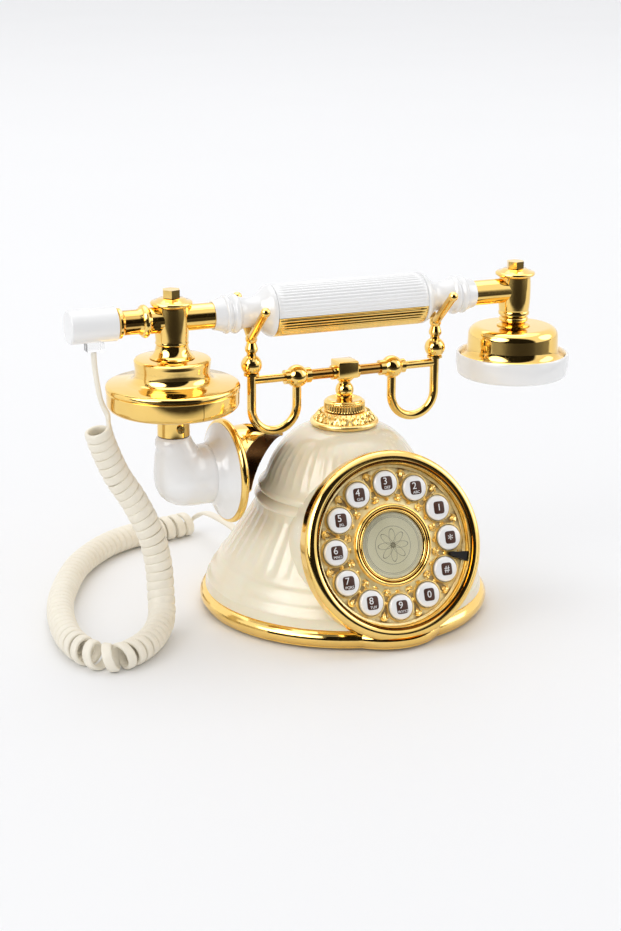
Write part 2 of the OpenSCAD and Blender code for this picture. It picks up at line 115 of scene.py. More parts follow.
def tidy_mesh(obj, doubles=1e-6):
    """Merge doubled points and turn all faces outwards."""
    take(obj)
    bpy.ops.object.mode_set(mode="EDIT")
    bpy.ops.mesh.select_all(action="SELECT")
    bpy.ops.mesh.remove_doubles(threshold=doubles)
    bpy.ops.mesh.normals_make_consistent(inside=False)
    bpy.ops.object.mode_set(mode="OBJECT")
    return obj


def smooth(obj, angle=40):
    """Shade smooth, but keep edges sharper than the angle crisp."""
    take(obj)
    bpy.ops.object.shade_smooth_by_angle(angle=math.radians(angle))
    return obj


def modify(obj, kind, **values):
    """Add a modifier, set its values and apply it."""
    take(obj)
    modifier = obj.modifiers.new(kind.lower(), kind)
    for key, value in values.items():
        setattr(modifier, key, value)
    bpy.ops.object.modifier_apply(modifier=modifier.name)
    return obj


def join(name, pieces):
    """Join several objects into one."""
    clear_selection()
    for piece in pieces:
        piece.select_set(True)
    bpy.context.view_layer.objects.active = pieces[0]
    bpy.ops.object.join()
    pieces[0].name = name
    return pieces[0]


def twin(obj, place):
    """A copy of obj with its own mesh, placed by a matrix."""
    copy = obj.copy()
    copy.data = obj.data.copy()
    bpy.context.scene.collection.objects.link(copy)
    return settle(copy, place)


def chain(name, points):
    """A chain of edges through points in millimetres, drawn by extruding one point at a time."""
    clear_selection()
    start = Vector(points[0]) * MM
    bpy.ops.mesh.primitive_plane_add(size=0.001, location=start)
    obj = bpy.context.object
    obj.name = name
    bpy.ops.object.mode_set(mode="EDIT")
    bpy.ops.mesh.merge(type="CENTER")
    for before, after in zip(points, points[1:]):
        step = (Vector(after) - Vector(before)) * MM
        bpy.ops.mesh.extrude_vertices_move(TRANSFORM_OT_translate={"value": step})
    bpy.ops.object.mode_set(mode="OBJECT")
    return settle(obj)


def turned(name, outline, sides=96, place=None, crisp=40):
    """Spin an outline of (radius, height) in millimetres round +Z into a closed skin."""
    obj = take(chain(name, [(max(r, 0.001), 0, z) for r, z in outline]))
    bpy.ops.object.mode_set(mode="EDIT")
    bpy.ops.mesh.select_all(action="SELECT")
    bpy.ops.mesh.spin(steps=sides, angle=2 * math.pi, center=(0, 0, 0), axis=(0, 0, 1))
    bpy.ops.object.mode_set(mode="OBJECT")
    tidy_mesh(obj, 5e-6)
    settle(obj, place)
    return smooth(obj, crisp)


def skin(name, rings, capped=False):
    """A skin of quads through closed rings of points, one ring after another."""
    mesh = bmesh.new()
    loops = [[mesh.verts.new(point) for point in ring] for ring in rings]
    for before, after in zip(loops, loops[1:]):
        for k in range(len(before)):
            m = (k + 1) % len(before)
            mesh.faces.new((before[k], before[m], after[m], after[k]))
    if capped:
        mesh.faces.new(list(reversed(loops[0])))
        mesh.faces.new(loops[-1])
    data = bpy.data.meshes.new(name)
    mesh.to_mesh(data)
    mesh.free()
    obj = bpy.data.objects.new(name, data)
    bpy.context.scene.collection.objects.link(obj)
    return tidy_mesh(obj)


def discard(*helpers):
    """Remove objects that were only tools or templates."""
    for helper in helpers:
        bpy.data.objects.remove(helper)


def carve(obj, tool, operation="DIFFERENCE"):
    """Cut a tool out of obj, or unite the two, and throw the tool away."""
    modify(obj, "BOOLEAN", operation=operation, solver="EXACT", object=tool)
    discard(tool)
    return obj


def curve_points(points, steps):
    """Points of a smooth curve that passes through all the points given."""
    last = len(points) - 1
    smooth_points = []
    for i in range(last):
        a, b, c, d = (Vector(points[max(0, min(last, i + k))]) for k in (-1, 0, 1, 2))
        for k in range(steps):
            t = k / steps
            bend = (2 * a - 5 * b + 4 * c - d) * t * t
            smooth_points.append(0.5 * (2 * b + (c - a) * t + bend + (3 * b - a - 3 * c + d) * t ** 3))
    return smooth_points + [Vector(points[last])]


def arc(cx, cy, r, start, end, steps=8):
    """Points of a circular arc, with its angles in degrees."""
    angles = [math.radians(start + (end - start) * k / steps) for k in range(steps + 1)]
    return [(cx + r * math.cos(a), cy + r * math.sin(a)) for a in angles]


def finish_piece(obj, body, material, slot, *nodes):
    """Give a piece its body, hide the plain nodes it replaces, and give it the material if one is passed. The slot
    is not used.
    """
    if material:
        obj.data.materials.clear()
        obj.data.materials.append(material)
    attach(obj, body)
    if nodes:
        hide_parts(*nodes)
    print(obj.name, len(obj.data.polygons), "faces")
    return obj


def shift(x=0, y=0, z=0):
    return Matrix.Translation(Vector((x, y, z)) * MM)


def turn(axis, degrees):
    return Matrix.Rotation(math.radians(degrees), 4, axis)


# %% [markdown]
# ## Materials: shared effects
# Three effects come back in several finishes. Fine wear changes how rough a surface is from place
# to place. Painted shade darkens the recesses, which Blender finds from how pointed the mesh is. A grain
# moves the surface a little. Each is a node group that gives out only a colour, a number or
# a normal, and every material sets its own values on it.

# %% Shader groups
def group(name, inputs, outputs):
    """A new shader node group with named sockets."""
    tree = bpy.data.node_groups.new(name, "ShaderNodeTree")
    for direction, sockets in (("INPUT", inputs), ("OUTPUT", outputs)):
        for label, kind, value in sockets:
            socket = tree.interface.new_socket(label, in_out=direction, socket_type="NodeSocket" + kind)
            if value is not None:
                socket.default_value = value
    return tree, tree.nodes.new("NodeGroupInput"), tree.nodes.new("NodeGroupOutput")


def add(tree, kind, **values):
    """A node of a kind, with its settings and input values; a _ stands for a space in a name."""
    made = tree.nodes.new("ShaderNode" + kind)
    for key, value in values.items():
        label = key.replace("_", " ")
        if label in made.inputs:
            made.inputs[label].default_value = value
        else:
            setattr(made, key, value)
    return made


def wire(tree, *links):
    """Connect nodes; each link is a node, its output, the next node and its input."""
    for source, output, target, entry in links:
        tree.links.new(source.outputs[output], target.inputs[entry])


def wear_group():
    """A roughness that drifts in soft clouds with fine wiping marks over it."""
    tree, inside, out = group(
        "fine_wear",
        [("Roughness", "Float", 0.2), ("Spread", "Float", 0.1), ("Scale", "Float", 60.0)],
        [("Roughness", "Float", None)])
    place = add(tree, "TexCoord")
    clouds = add(tree, "TexNoise", Detail=5.0, Roughness=0.6)
    marks = add(tree, "TexNoise", Detail=2.0)
    times = add(tree, "Math", operation="MULTIPLY")
    times.inputs[1].default_value = 6.0     # how much finer the wiping marks are than the clouds
    both = add(tree, "Math", operation="MULTIPLY")
    centre = add(tree, "MapRange", From_Min=0.12, From_Max=0.42)
    spread = add(tree, "Math", operation="MULTIPLY_ADD")
    wire(tree, (place, "Object", clouds, "Vector"), (place, "Object", marks, "Vector"),
         (inside, "Scale", clouds, "Scale"), (inside, "Scale", times, 0), (times, 0, marks, "Scale"),
         (clouds, "Fac", both, 0), (marks, "Fac", both, 1), (both, 0, centre, "Value"),
         (centre, "Result", spread, 0), (inside, "Spread", spread, 1),
         (inside, "Roughness", spread, 2), (spread, 0, out, "Roughness"))
    return tree


def hollow_shade_group():
    """A mask for painted shade, 1 in recesses and 0 on flats and ridges."""
    tree, inside, out = group("hollow_shade", [("Width", "Float", 0.06)], [("Mask", "Float", None)])
    geometry = add(tree, "NewGeometry")
    low = add(tree, "Math", operation="SUBTRACT")
    low.inputs[0].default_value = 0.5       # the pointiness of a flat face
    falloff = add(tree, "MapRange", interpolation_type="SMOOTHSTEP", To_Min=1.0, To_Max=0.0, From_Max=0.5)
    wire(tree, (inside, "Width", low, 1), (low, 0, falloff, "From Min"),
         (geometry, "Pointiness", falloff, "Value"), (falloff, "Result", out, "Mask"))
    return tree


def grain_group():
    """A normal with a fine random grain."""
    tree, inside, out = group(
        "grain",
        [("Scale", "Float", 400.0), ("Strength", "Float", 0.1), ("Distance", "Float", 0.0002)],
        [("Normal", "Vector", None)])
    place = add(tree, "TexCoord")
    noise = add(tree, "TexNoise", Detail=4.0)
    bump = add(tree, "Bump")
    wire(tree, (place, "Object", noise, "Vector"), (inside, "Scale", noise, "Scale"),
         (noise, "Fac", bump, "Height"), (inside, "Strength", bump, "Strength"),
         (inside, "Distance", bump, "Distance"), (bump, "Normal", out, "Normal"))
    return tree


GROUPS = {"fine_wear": wear_group(), "hollow_shade": hollow_shade_group(), "grain": grain_group()}
print("shader groups:", ", ".join(GROUPS))

# %% [markdown]
# ## Materials: one recipe for plated metal and moulded plastic
# All the finishes share one layout: two close colours mixed by slow clouds, painted shade in the
# recesses, and wear and grain on top. What makes gold gold, or a moulding glossy, are the values on
# the Principled shader, so the recipe takes them as arguments.

# %% Material recipe
def use(tree, name, **values):
    """A shader group placed in a material, with its own values."""
    made = tree.nodes.new("ShaderNodeGroup")
    made.node_tree = GROUPS[name]
    for key, value in values.items():
        made.inputs[key].default_value = value
    return made


def mix_colours(tree, factor, first, second):
    """Mix two colours, each a socket or four numbers."""
    made = add(tree, "Mix", data_type="RGBA")
    tree.links.new(factor, made.inputs["Factor"])
    for socket, value in ((made.inputs[6], first), (made.inputs[7], second)):
        if isinstance(value, tuple):
            socket.default_value = value
        else:
            tree.links.new(value, socket)
    return made.outputs[2]


def finish(name, colour, second, hollow_shade_colour, roughness, spread=0.06, clouds=25.0, stretch=(1, 1, 1),
           hollow_shade_width=0.05, grain=0.05, grain_scale=500.0, wear_scale=60.0, **shader):
    """A procedural finish; the extra arguments go onto the Principled shader."""
    material = bpy.data.materials.new(name)
    material.use_nodes = True
    tree = material.node_tree
    principled = tree.nodes["Principled BSDF"]
    place = add(tree, "TexCoord")
    mapping = add(tree, "Mapping", Scale=stretch)
    noise = add(tree, "TexNoise", Scale=clouds, Detail=6.0, Roughness=0.6, Distortion=0.6)
    contrast = add(tree, "MapRange", From_Min=0.35, From_Max=0.65)
    wire(tree, (place, "Object", mapping, "Vector"), (mapping, "Vector", noise, "Vector"),
         (noise, "Fac", contrast, "Value"))
    base = mix_colours(tree, contrast.outputs["Result"], colour + (1,), second + (1,))
    # Painted shade: the recesses take the finish's darker third colour.
    mask = use(tree, "hollow_shade", Width=hollow_shade_width)
    base = mix_colours(tree, mask.outputs["Mask"], base, hollow_shade_colour + (1,))
    tree.links.new(base, principled.inputs["Base Color"])
    wear = use(tree, "fine_wear", Roughness=roughness, Spread=spread, Scale=wear_scale)
    normal = use(tree, "grain", Strength=grain, Scale=grain_scale)
    wire(tree, (wear, "Roughness", principled, "Roughness"), (normal, "Normal", principled, "Normal"))
    for key, value in shader.items():
        principled.inputs[key.replace("_", " ")].default_value = value
    return material


# The third colour of each finish is the painted shade that its recesses take.
GOLD = finish("gold_plate", (0.94, 0.66, 0.22), (0.90, 0.60, 0.17), (0.50, 0.24, 0.05), 0.06,
              spread=0.07, hollow_shade_width=0.08, grain=0.03, Metallic=1.0)
OLD_GOLD = finish("relief_gold", (0.98, 0.76, 0.34), (0.94, 0.70, 0.27), (0.20, 0.11, 0.03), 0.26,
                  spread=0.14, hollow_shade_width=0.10, grain=0.6, grain_scale=700.0, Metallic=1.0)
GROUND_GOLD = finish("relief_ground", (0.92, 0.74, 0.36), (1.0, 0.90, 0.56), (0.24, 0.13, 0.04), 0.50,
                     spread=0.14, clouds=320.0, grain=0.9, grain_scale=420.0, Metallic=1.0)
# Near-black gold for the inside of the horn's scoop: painted shade.
PAINTED_SHADE_GOLD = finish("inside_gold_painted_shade", (0.16, 0.075, 0.025), (0.11, 0.05, 0.018), (0.05, 0.02, 0.01), 0.24,
                  spread=0.10, Metallic=1.0)
CREAM = finish("cream_moulding", (0.92, 0.845, 0.68), (0.89, 0.78, 0.57), (0.86, 0.75, 0.55), 0.20,
               spread=0.08, clouds=14.0, stretch=(1.0, 1.0, 0.25), hollow_shade_width=0.10, grain=0.02,
               Coat_Weight=0.35, Coat_Roughness=0.06, Subsurface_Weight=0.25, Subsurface_Scale=0.004)
WHITE = finish("white_moulding", (0.88, 0.88, 0.875), (0.865, 0.865, 0.86), (0.85, 0.845, 0.84), 0.20,
               spread=0.06, clouds=10.0, hollow_shade_width=0.10, grain=0.02, Coat_Weight=0.5,
               Coat_Roughness=0.08)
BUTTON = finish("button_cap", (0.87, 0.865, 0.855), (0.85, 0.845, 0.835), (0.80, 0.78, 0.76), 0.18,
                spread=0.06, hollow_shade_width=0.10, grain=0.02, Coat_Weight=0.6, Coat_Roughness=0.06)
BROWN = finish("brown_label", (0.075, 0.026, 0.014), (0.055, 0.018, 0.010), (0.03, 0.01, 0.006), 0.32,
               clouds=200.0, grain=0.08)
BLACK = finish("black_moulding", (0.010, 0.009, 0.009), (0.015, 0.014, 0.014), (0.005, 0.005, 0.005), 0.5,
               spread=0.15, grain=0.12, Specular_IOR_Level=0.25)
RUBBER = finish("foot_rubber", (0.028, 0.028, 0.028), (0.04, 0.04, 0.04), (0.012, 0.012, 0.012), 0.7,
                spread=0.15, grain=0.4, grain_scale=1200.0)
STEEL = finish("plain_steel", (0.55, 0.55, 0.56), (0.48, 0.48, 0.50), (0.2, 0.2, 0.2), 0.3,
               spread=0.15, Metallic=1.0)
BOARD = finish("circuit_board", (0.03, 0.16, 0.07), (0.04, 0.20, 0.09), (0.01, 0.06, 0.03), 0.4)
PAD = finish("keypad_silicone", (0.28, 0.27, 0.25), (0.25, 0.24, 0.22), (0.12, 0.12, 0.11), 0.6)
CARD = finish("printed_card", (0.80, 0.76, 0.54), (0.77, 0.73, 0.51), (0.70, 0.66, 0.46), 0.45,
              clouds=60.0, grain=0.15, grain_scale=1500.0)
INK = finish("printed_ink", (0.20, 0.18, 0.11), (0.26, 0.23, 0.14), (0.1, 0.08, 0.05), 0.6, clouds=600.0)
CORD = finish("cord_jacket", (0.89, 0.84, 0.72), (0.86, 0.80, 0.67), (0.66, 0.58, 0.44), 0.42,
              spread=0.12, clouds=40.0, hollow_shade_width=0.05, grain=0.10, grain_scale=700.0)
print("finishes:", len(bpy.data.materials))


def clear_plastic():
    """Clear moulding with a faint warm tint and slightly uneven gloss, which lets light through."""
    material = bpy.data.materials.new("clear_moulding")
    material.use_nodes = True
    tree = material.node_tree
    principled = tree.nodes["Principled BSDF"]
    principled.inputs["Base Color"].default_value = (0.99, 0.99, 0.98, 1)
    principled.inputs["Transmission Weight"].default_value = 1.0
    principled.inputs["IOR"].default_value = 1.45
    wear = use(tree, "fine_wear", Roughness=0.02, Spread=0.05, Scale=90.0)
    path_kind = add(tree, "LightPath")
    see_through = add(tree, "BsdfTransparent")
    choice = add(tree, "MixShader")
    wire(tree, (wear, "Roughness", principled, "Roughness"), (path_kind, "Is Shadow Ray", choice, "Fac"),
         (principled, "BSDF", choice, 1), (see_through, "BSDF", choice, 2),
         (choice, "Shader", tree.nodes["Material Output"], "Surface"))
    return material


CLEAR = clear_plastic()

# %% [markdown]
# ## The curly cord
# One flat cord runs from the plug under the handset to the jack at the back of the base. Its middle
# is wound into a coil. The route of each stretch is a short list of given points; the coil
# itself is worked out, because nobody could place two thousand points. The cord's section is a
# rounded ribbon that lies flat on the coil, so the coil looks closed as the real one does.

# %% Cord: routes
TOP_ROUTE = [(-131, 0, 144.6), (-130.8, 0, 138), (-130, 0, 131), (-128.6, 0, 122),
             (-127, 0, 117), (-125, -2, 112), (-124, -4, 109)]
COIL_ROUTE = [(-131.5, -5, 107), (-128.5, -3, 98), (-121.5, -1, 82), (-112.5, 0, 67), (-105, -1, 50),
              (-101.5, -2, 34), (-101.5, -5, 19), (-104, -13, 9.5), (-112, -27, 7), (-124, -41, 7),
              (-138, -48, 7), (-148, -39, 7), (-152, -20, 7), (-150, 4, 7), (-144, 29, 7), (-134, 54, 7),
              (-120, 80, 7), (-102, 101, 7), (-85, 113, 7), (-68, 119, 7), (-53, 122, 7), (-42, 125, 7)]
BOTTOM_ROUTE = [(-36.5, 127, 9.5), (-35.5, 120, 13.5), (-35, 110, 16.6), (-34, 97, 18), (-31.5, 84, 17.4),
                (-30, 74.5, 16.2), (-30, 68, 16), (-30, 63.8, 16)]
LINE_STEP = 0.5     # distance between the points of the coil's middle line
COIL_R = 6.9        # outer radius of the coil
RIBBON_W = 4.8      # width of the flat cord
RIBBON_T = 2.1      # its thickness
PITCH = 4.95        # distance from one turn to the next where the coil is closed
TURN_STEPS = 24     # points on one turn
RIBBON_SIDES = 12   # points on one section of the cord
# Stretches where the turns are pulled apart: where on the coil, how far it reaches, and how much.
OPENINGS = [(0.43, 0.035, 0.75), (0.97, 0.03, 0.25)]


def even_steps(points, step):
    """The same curve as points that lie a fixed distance apart."""
    out, left = [points[0].copy()], step
    for a, b in zip(points, points[1:]):
        length, at = (b - a).length, 0.0
        while length - at >= left:
            at += left
            out.append(a.lerp(b, at / length))
            left = step
        left -= length - at
    return out


def frames_along(points, side):
    """The direction of travel and two directions across it, carried along without twisting."""
    frames = []
    for i in range(len(points)):
        ahead = points[min(i + 1, len(points) - 1)] - points[max(i - 1, 0)]
        ahead.normalize()
        side = (side - ahead * ahead.dot(side)).normalized()
        frames.append((ahead, side, ahead.cross(side)))
    return frames


def opened(t):
    """How far the turns are pulled apart at a fraction t of the coil: most in the front bend."""
    return 1 + sum(much * math.exp(-((t - at) / reach) ** 2) for at, reach, much in OPENINGS)


def coil_points(route):
    """Points of the helix round the route, with the coil's own outward direction at each."""
    line = even_steps(curve_points([Vector(p) for p in route], 24), LINE_STEP)
    frames = frames_along(line, Vector((0, 1, 0)))
    radius = COIL_R - RIBBON_T / 2
    phase, spots, outward, along = math.radians(90), [], [], []
    position, last = 0.0, len(line) - 1
    while position < last:
        i = min(int(position), last - 1)
        centre = line[i].lerp(line[i + 1], position - i)
        ahead, side, up = frames[i]
        out = side * math.cos(phase) + up * math.sin(phase)
        spots.append(centre + out * radius)
        outward.append(out)
        along.append(ahead)
        phase += 2 * math.pi / TURN_STEPS
        position += PITCH * opened(position / last) / TURN_STEPS / LINE_STEP
    return spots, outward, along


spots, outward, along = coil_points(COIL_ROUTE)
turns = len(spots) / TURN_STEPS
print("coil turns:", round(turns, 1))

# %% [markdown]
# The two leads and the coil are joined into one path. Where a lead meets the coil, a few blended
# points lead the cord off the rim of the first or last turn. The ribbon is then swept along the path
# ring by ring, which gives clean quads and lets the flat side follow the coil.

# %% Cord: one ribbon
def lead_points(route, step=2.0):
    return even_steps(curve_points([Vector(p) for p in route], 12), step)


def ribbon_ring(spot, across, out):
    """One section of the ribbon, a flattened oval with blunt edges."""
    ring = []
    for k in range(RIBBON_SIDES):
        a = 2 * math.pi * (k + 0.5) / RIBBON_SIDES
        wide = math.copysign(abs(math.cos(a)) ** 0.55, math.cos(a)) * RIBBON_W / 2
        thick = math.copysign(abs(math.sin(a)) ** 0.7, math.sin(a)) * RIBBON_T / 2
        ring.append((spot + across * wide + out * thick) * MM)
    return ring


def sweep_ribbon(name, path, outs):
    """The ribbon along a path, with its flat side turned as outs says at each point."""
    rings = []
    for i, spot in enumerate(path):
        ahead = (path[min(i + 1, len(path) - 1)] - path[max(i - 1, 0)]).normalized()
        out = (outs[i] - ahead * ahead.dot(outs[i])).normalized()
        rings.append(ribbon_ring(spot, ahead.cross(out), out))
    return smooth(skin(name, rings, capped=True), 60)


def bridge(a, da, b, db, n=8):
    """Points of a smooth link from a, leaving along da, to b, arriving along db."""
    reach = (b - a).length * 0.9
    out = []
    for k in range(1, n):
        t = k / n
        out.append(a * (2 * t ** 3 - 3 * t ** 2 + 1) + da * reach * (t ** 3 - 2 * t ** 2 + t)
                   + b * (3 * t ** 2 - 2 * t ** 3) + db * reach * (t ** 3 - t ** 2))
    return out


top = lead_points(TOP_ROUTE[:-1])
bottom = lead_points(BOTTOM_ROUTE)
into = bridge(top[-1], (top[-1] - top[-2]).normalized(), spots[0], (spots[1] - spots[0]).normalized())
out_of = bridge(spots[-1], (spots[-1] - spots[-2]).normalized(), bottom[0],
                (bottom[1] - bottom[0]).normalized())
path = top + into + spots + out_of + bottom


def turned_from(first, second, count):
    """Directions that turn in even steps from one to another."""
    return [first.lerp(second, (k + 1) / (count + 1)) for k in range(count)]


top_side = Vector((1, 0, 0))
bottom_side = Vector((0, 0, 1))
outs = ([top_side] * len(top) + turned_from(top_side, outward[0], len(into)) + outward
        + turned_from(outward[-1], bottom_side, len(out_of)) + [bottom_side] * len(bottom))
cord = sweep_ribbon("curly_cord", path, outs)

cord.data.materials.append(CORD)
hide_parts("top_lead", "cord_coil", "bottom_lead")
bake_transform(cord)

# %% [markdown]
# ## The stage
# The telephone stands in the middle of a large pale floor that also serves as the background. The
# floor has to be evenly bright, so most of the light comes from the surroundings, with two large lamps
# far away for the modelling. Polished gold shows what stands around it: the surroundings give its
# reflections bright panels on the sides and above, and a dark front. The floor, too, turns dark for
# reflections a little way in front of the telephone, as if the table ended there.

# %% Floor, lamps and surroundings
TABLE_EDGE = (-0.22, -0.34)     # where the floor turns dark for reflections, along Y
# Bright panels that only reflections see: direction, where each fades out and is full, and brightness.
PANELS = [((-0.80, -0.30, 0.52), 0.90, 0.93, 4.2), ((0.86, -0.25, 0.44), 0.93, 0.95, 3.6),
          ((0.05, 0.25, 0.97), 0.80, 0.86, 2.4)]


def floor_material():
    material = bpy.data.materials.new("pale_floor")
    material.use_nodes = True
    tree = material.node_tree
    principled = tree.nodes["Principled BSDF"]
    place = add(tree, "TexCoord")
    noise = add(tree, "TexNoise", Scale=3.0, Detail=2.0)
    shade = mix_colours(tree, noise.outputs["Fac"], (0.90, 0.903, 0.91, 1), (0.915, 0.918, 0.925, 1))
    apart = add(tree, "SeparateXYZ")
    edge = add(tree, "MapRange", interpolation_type="SMOOTHSTEP", From_Min=TABLE_EDGE[0],
               From_Max=TABLE_EDGE[1])
    path_kind = add(tree, "LightPath")
    both = add(tree, "Math", operation="MULTIPLY")
    wire(tree, (place, "Object", noise, "Vector"), (place, "Object", apart, 0),
         (apart, "Y", edge, "Value"), (edge, "Result", both, 0), (path_kind, "Is Glossy Ray", both, 1))
    shade = mix_colours(tree, both.outputs[0], shade, (0.015, 0.012, 0.010, 1))
    tree.links.new(shade, principled.inputs["Base Color"])
    principled.inputs["Roughness"].default_value = 0.6
    principled.inputs["Specular IOR Level"].default_value = 0.2
    return material


clear_selection()
bpy.ops.mesh.primitive_plane_add(size=40, location=(0, 0, 0))
floor = bpy.context.object
floor.name = "floor"
floor.data.materials.append(floor_material())


def soft_lamp(name, place, size, watts, aim=(0, 0, 0.08), colour=(1, 1, 1)):
    data = bpy.data.lights.new(name, "AREA")
    data.shape = "RECTANGLE"
    data.size, data.size_y = size
    data.energy = watts
    data.color = colour
    lamp = bpy.data.objects.new(name, data)
    bpy.context.scene.collection.objects.link(lamp)
    lamp.location = place
    lamp.rotation_mode = "QUATERNION"
    lamp.rotation_quaternion = (Vector(aim) - lamp.location).to_track_quat("-Z", "Y")
    return lamp


soft_lamp("lamp_left", (-3.2, -1.2, 2.6), (2.4, 2.4), 25)
soft_lamp("lamp_above", (0.3, 1.4, 3.8), (2.8, 2.2), 26)


def toward(tree, direction, wide, narrow):
    """A mask that is 1 round one direction of the sky and 0 away from it."""
    place = add(tree, "TexCoord")
    dot = add(tree, "VectorMath", operation="DOT_PRODUCT")
    dot.inputs[1].default_value = Vector(direction).normalized()
    mask = add(tree, "MapRange", interpolation_type="SMOOTHSTEP", From_Min=wide, From_Max=narrow)
    wire(tree, (place, "Generated", dot, 0), (dot, "Value", mask, "Value"))
    return mask.outputs["Result"]


def surroundings():
    """A pale room; polished metal sees bright panels beside it and a dark front."""
    world = bpy.data.worlds.new("studio")
    bpy.context.scene.world = world
    world.use_nodes = True
    tree = world.node_tree
    back = tree.nodes["Background"]
    front = toward(tree, (-0.52, -0.85, -0.02), 0.40, 0.52)
    shade = mix_colours(tree, front, (1.12, 1.12, 1.14, 1), (0.012, 0.010, 0.008, 1))
    for direction, wide, narrow, light in PANELS:
        panel = toward(tree, direction, wide, narrow)
        shade = mix_colours(tree, panel, shade, (light, light, light, 1))
    path_kind = add(tree, "LightPath")
    seen = mix_colours(tree, path_kind.outputs["Is Glossy Ray"], (0.825, 0.825, 0.835, 1), shade)
    tree.links.new(seen, back.inputs["Color"])
    back.inputs["Strength"].default_value = 1.0


surroundings()
bpy.context.scene.view_settings.view_transform = "Standard"

# %% [markdown]
# ## The bell
# The base is a moulded bell with a pair of beads round its waist and shallow flutes above and below
# them. A lathe outline gives the bell. The flutes could be cut one by one, but they all fade out
# at both ends, so a vertex group says how deep each point goes and one Displace modifier presses
# them in together. The round dial housing is then united with the bell, and the skin gets a wall.

# %% Bell: outline
BELL_TOP = [(6, 95), (11, 95), (16, 94.8), (24, 91.8), (31, 86), (37, 77.4), (40.4, 69)]
BELL_SKIRT = [(46.2, 53.4), (50.4, 46.5), (57, 36.5), (62.2, 28.2)]
BELL_FOOT = [(63.0, 27.0), (63.9, 26.3), (64.9, 25.4), (66.2, 22.9), (67.8, 20.2), (68.6, 19.6), (69.4, 18.0),
             (70.3, 15.4), (70.9, 14.9), (71.5, 12.6), (71.7, 10.2), (71.7, 4)]
FLUTES = 48
FLUTE_DEPTH = 0.55
BELL_SIDES = FLUTES * 8
BELL_WALL = 2.4
RIM_TOP = 10.2      # height of the gold rim on which the bell stands


def flat_points(points, steps):
    return [(p.x, p.y) for p in curve_points([(a, b, 0) for a, b in points], steps)]


beads = arc(41.6, 63.5, 2.5, 66, -52, 7) + arc(43.5, 58.2, 2.5, 50, -45, 7)
bell_outline = flat_points(BELL_TOP, 5) + beads + flat_points(BELL_SKIRT, 8) + BELL_FOOT
bell = turned("bell_moulding", bell_outline, BELL_SIDES)
print("bell outline points:", len(bell_outline))


# %% Bell: flutes
def press(obj, name, depth, weight):
    """Press points in along their normals, as deep as weight(point) between 0 and 1 says."""
    vertex_group = obj.vertex_groups.new(name=name)
    for vertex in obj.data.vertices:
        amount = weight(vertex.co / MM)
        if amount > 0.002:
            vertex_group.add([vertex.index], amount, "REPLACE")
    modify(obj, "DISPLACE", strength=-depth * MM, mid_level=0.0, vertex_group=name)
    obj.vertex_groups.clear()
    return obj


def ease(value, low, high):
    """0 below low, 1 above high, and a smooth rise between them."""
    t = max(0.0, min(1.0, (value - low) / (high - low)))
    return t * t * (3 - 2 * t)


def bell_flutes(point):
    scoop = (0.5 + 0.5 * math.cos(FLUTES * math.atan2(point.y, point.x))) ** 0.7
    dome = ease(point.z, 67.5, 70.5) * (1 - ease(point.z, 83, 92)) * 0.45
    skirt = ease(point.z, 28.6, 33) * (1 - ease(point.z, 52.2, 54.8))
    return scoop * max(dome, skirt)


press(bell, "flutes", FLUTE_DEPTH, bell_flutes)

# %% [markdown]
# The dial stands in a short round housing that grows out of the bell. Everything on the dial is
# modelled lying flat at the origin and then placed by one matrix, which leans it back by the dial's
# tilt. The direction in which the buttons move says which way is out of the dial.

# %% Dial housing
DIAL_CENTRE = (0, -62, 49.6)
DIAL_TILT = 19.5
DIAL_SEAT = -8      # depth of the plane on which the dial stands
HOUSING_R = 42.6
HOUSING_DEPTH = 52
ON_DIAL = shift(*DIAL_CENTRE) @ turn("X", 90 - DIAL_TILT)
press_axis = next(j for j in frame["joints"] if j["name"] == "press_5")["axis"]
print("the dial faces", [round(-v, 3) for v in press_axis])

housing_rows = [(HOUSING_R, 1.9 * k - HOUSING_DEPTH) for k in range(23)]
housing_lip = [(HOUSING_R + 0.3, DIAL_SEAT - 1), (HOUSING_R + 0.3, DIAL_SEAT), (0, DIAL_SEAT)]
housing = turned("dial_housing", [(0, -HOUSING_DEPTH)] + housing_rows + housing_lip, 240, ON_DIAL)
carve(bell, housing, "UNION")


def box_piece(name, low, high):
    """A plain box between two corners in millimetres, to be cut away or shaped further."""
    clear_selection()
    middle = (Vector(low) + Vector(high)) / 2 * MM
    bpy.ops.mesh.primitive_cube_add(size=1, location=middle)
    obj = bpy.context.object
    obj.name = name
    obj.scale = (Vector(high) - Vector(low)) * MM
    return settle(obj)


JACK_X = 30
JACK_HALF_WIDTH = 5.6
for jack_x in (-JACK_X, JACK_X):
    carve(bell, box_piece("jack_opening", (jack_x - JACK_HALF_WIDTH, 40, 11.8),
                          (jack_x + JACK_HALF_WIDTH, 80, 20.4)))


def cut(obj, point, normal, fill=False):
    """Cut a mesh by a plane and drop what lies on the side that the normal points to."""
    take(obj)
    bpy.ops.object.mode_set(mode="EDIT")
    bpy.ops.mesh.select_all(action="SELECT")
    bpy.ops.mesh.bisect(plane_co=Vector(point) * MM, plane_no=normal, use_fill=fill,
                        clear_outer=True)
    bpy.ops.object.mode_set(mode="OBJECT")
    return obj


def drop_faces(obj, test):
    """Delete the faces whose centre and normal pass the test."""
    take(obj)
    bpy.ops.object.mode_set(mode="EDIT")
    bpy.ops.mesh.select_all(action="DESELECT")
    mesh = bmesh.from_edit_mesh(obj.data)
    for face in mesh.faces:
        face.select_set(test(face.calc_center_median() / MM, face.normal))
    bmesh.update_edit_mesh(obj.data)
    bpy.ops.mesh.delete(type="FACE")
    bpy.ops.object.mode_set(mode="OBJECT")
    return obj


cut(bell, (0, 0, RIM_TOP), (0, 0, -1))
outwards = -Vector(press_axis)


def on_dial_seat(centre, normal):
    """Whether a face lies on the plane behind the dial, which has to be open."""
    height = (centre - Vector(DIAL_CENTRE)).dot(outwards)
    return normal.dot(outwards) > 0.999 and height > DIAL_SEAT - 0.5


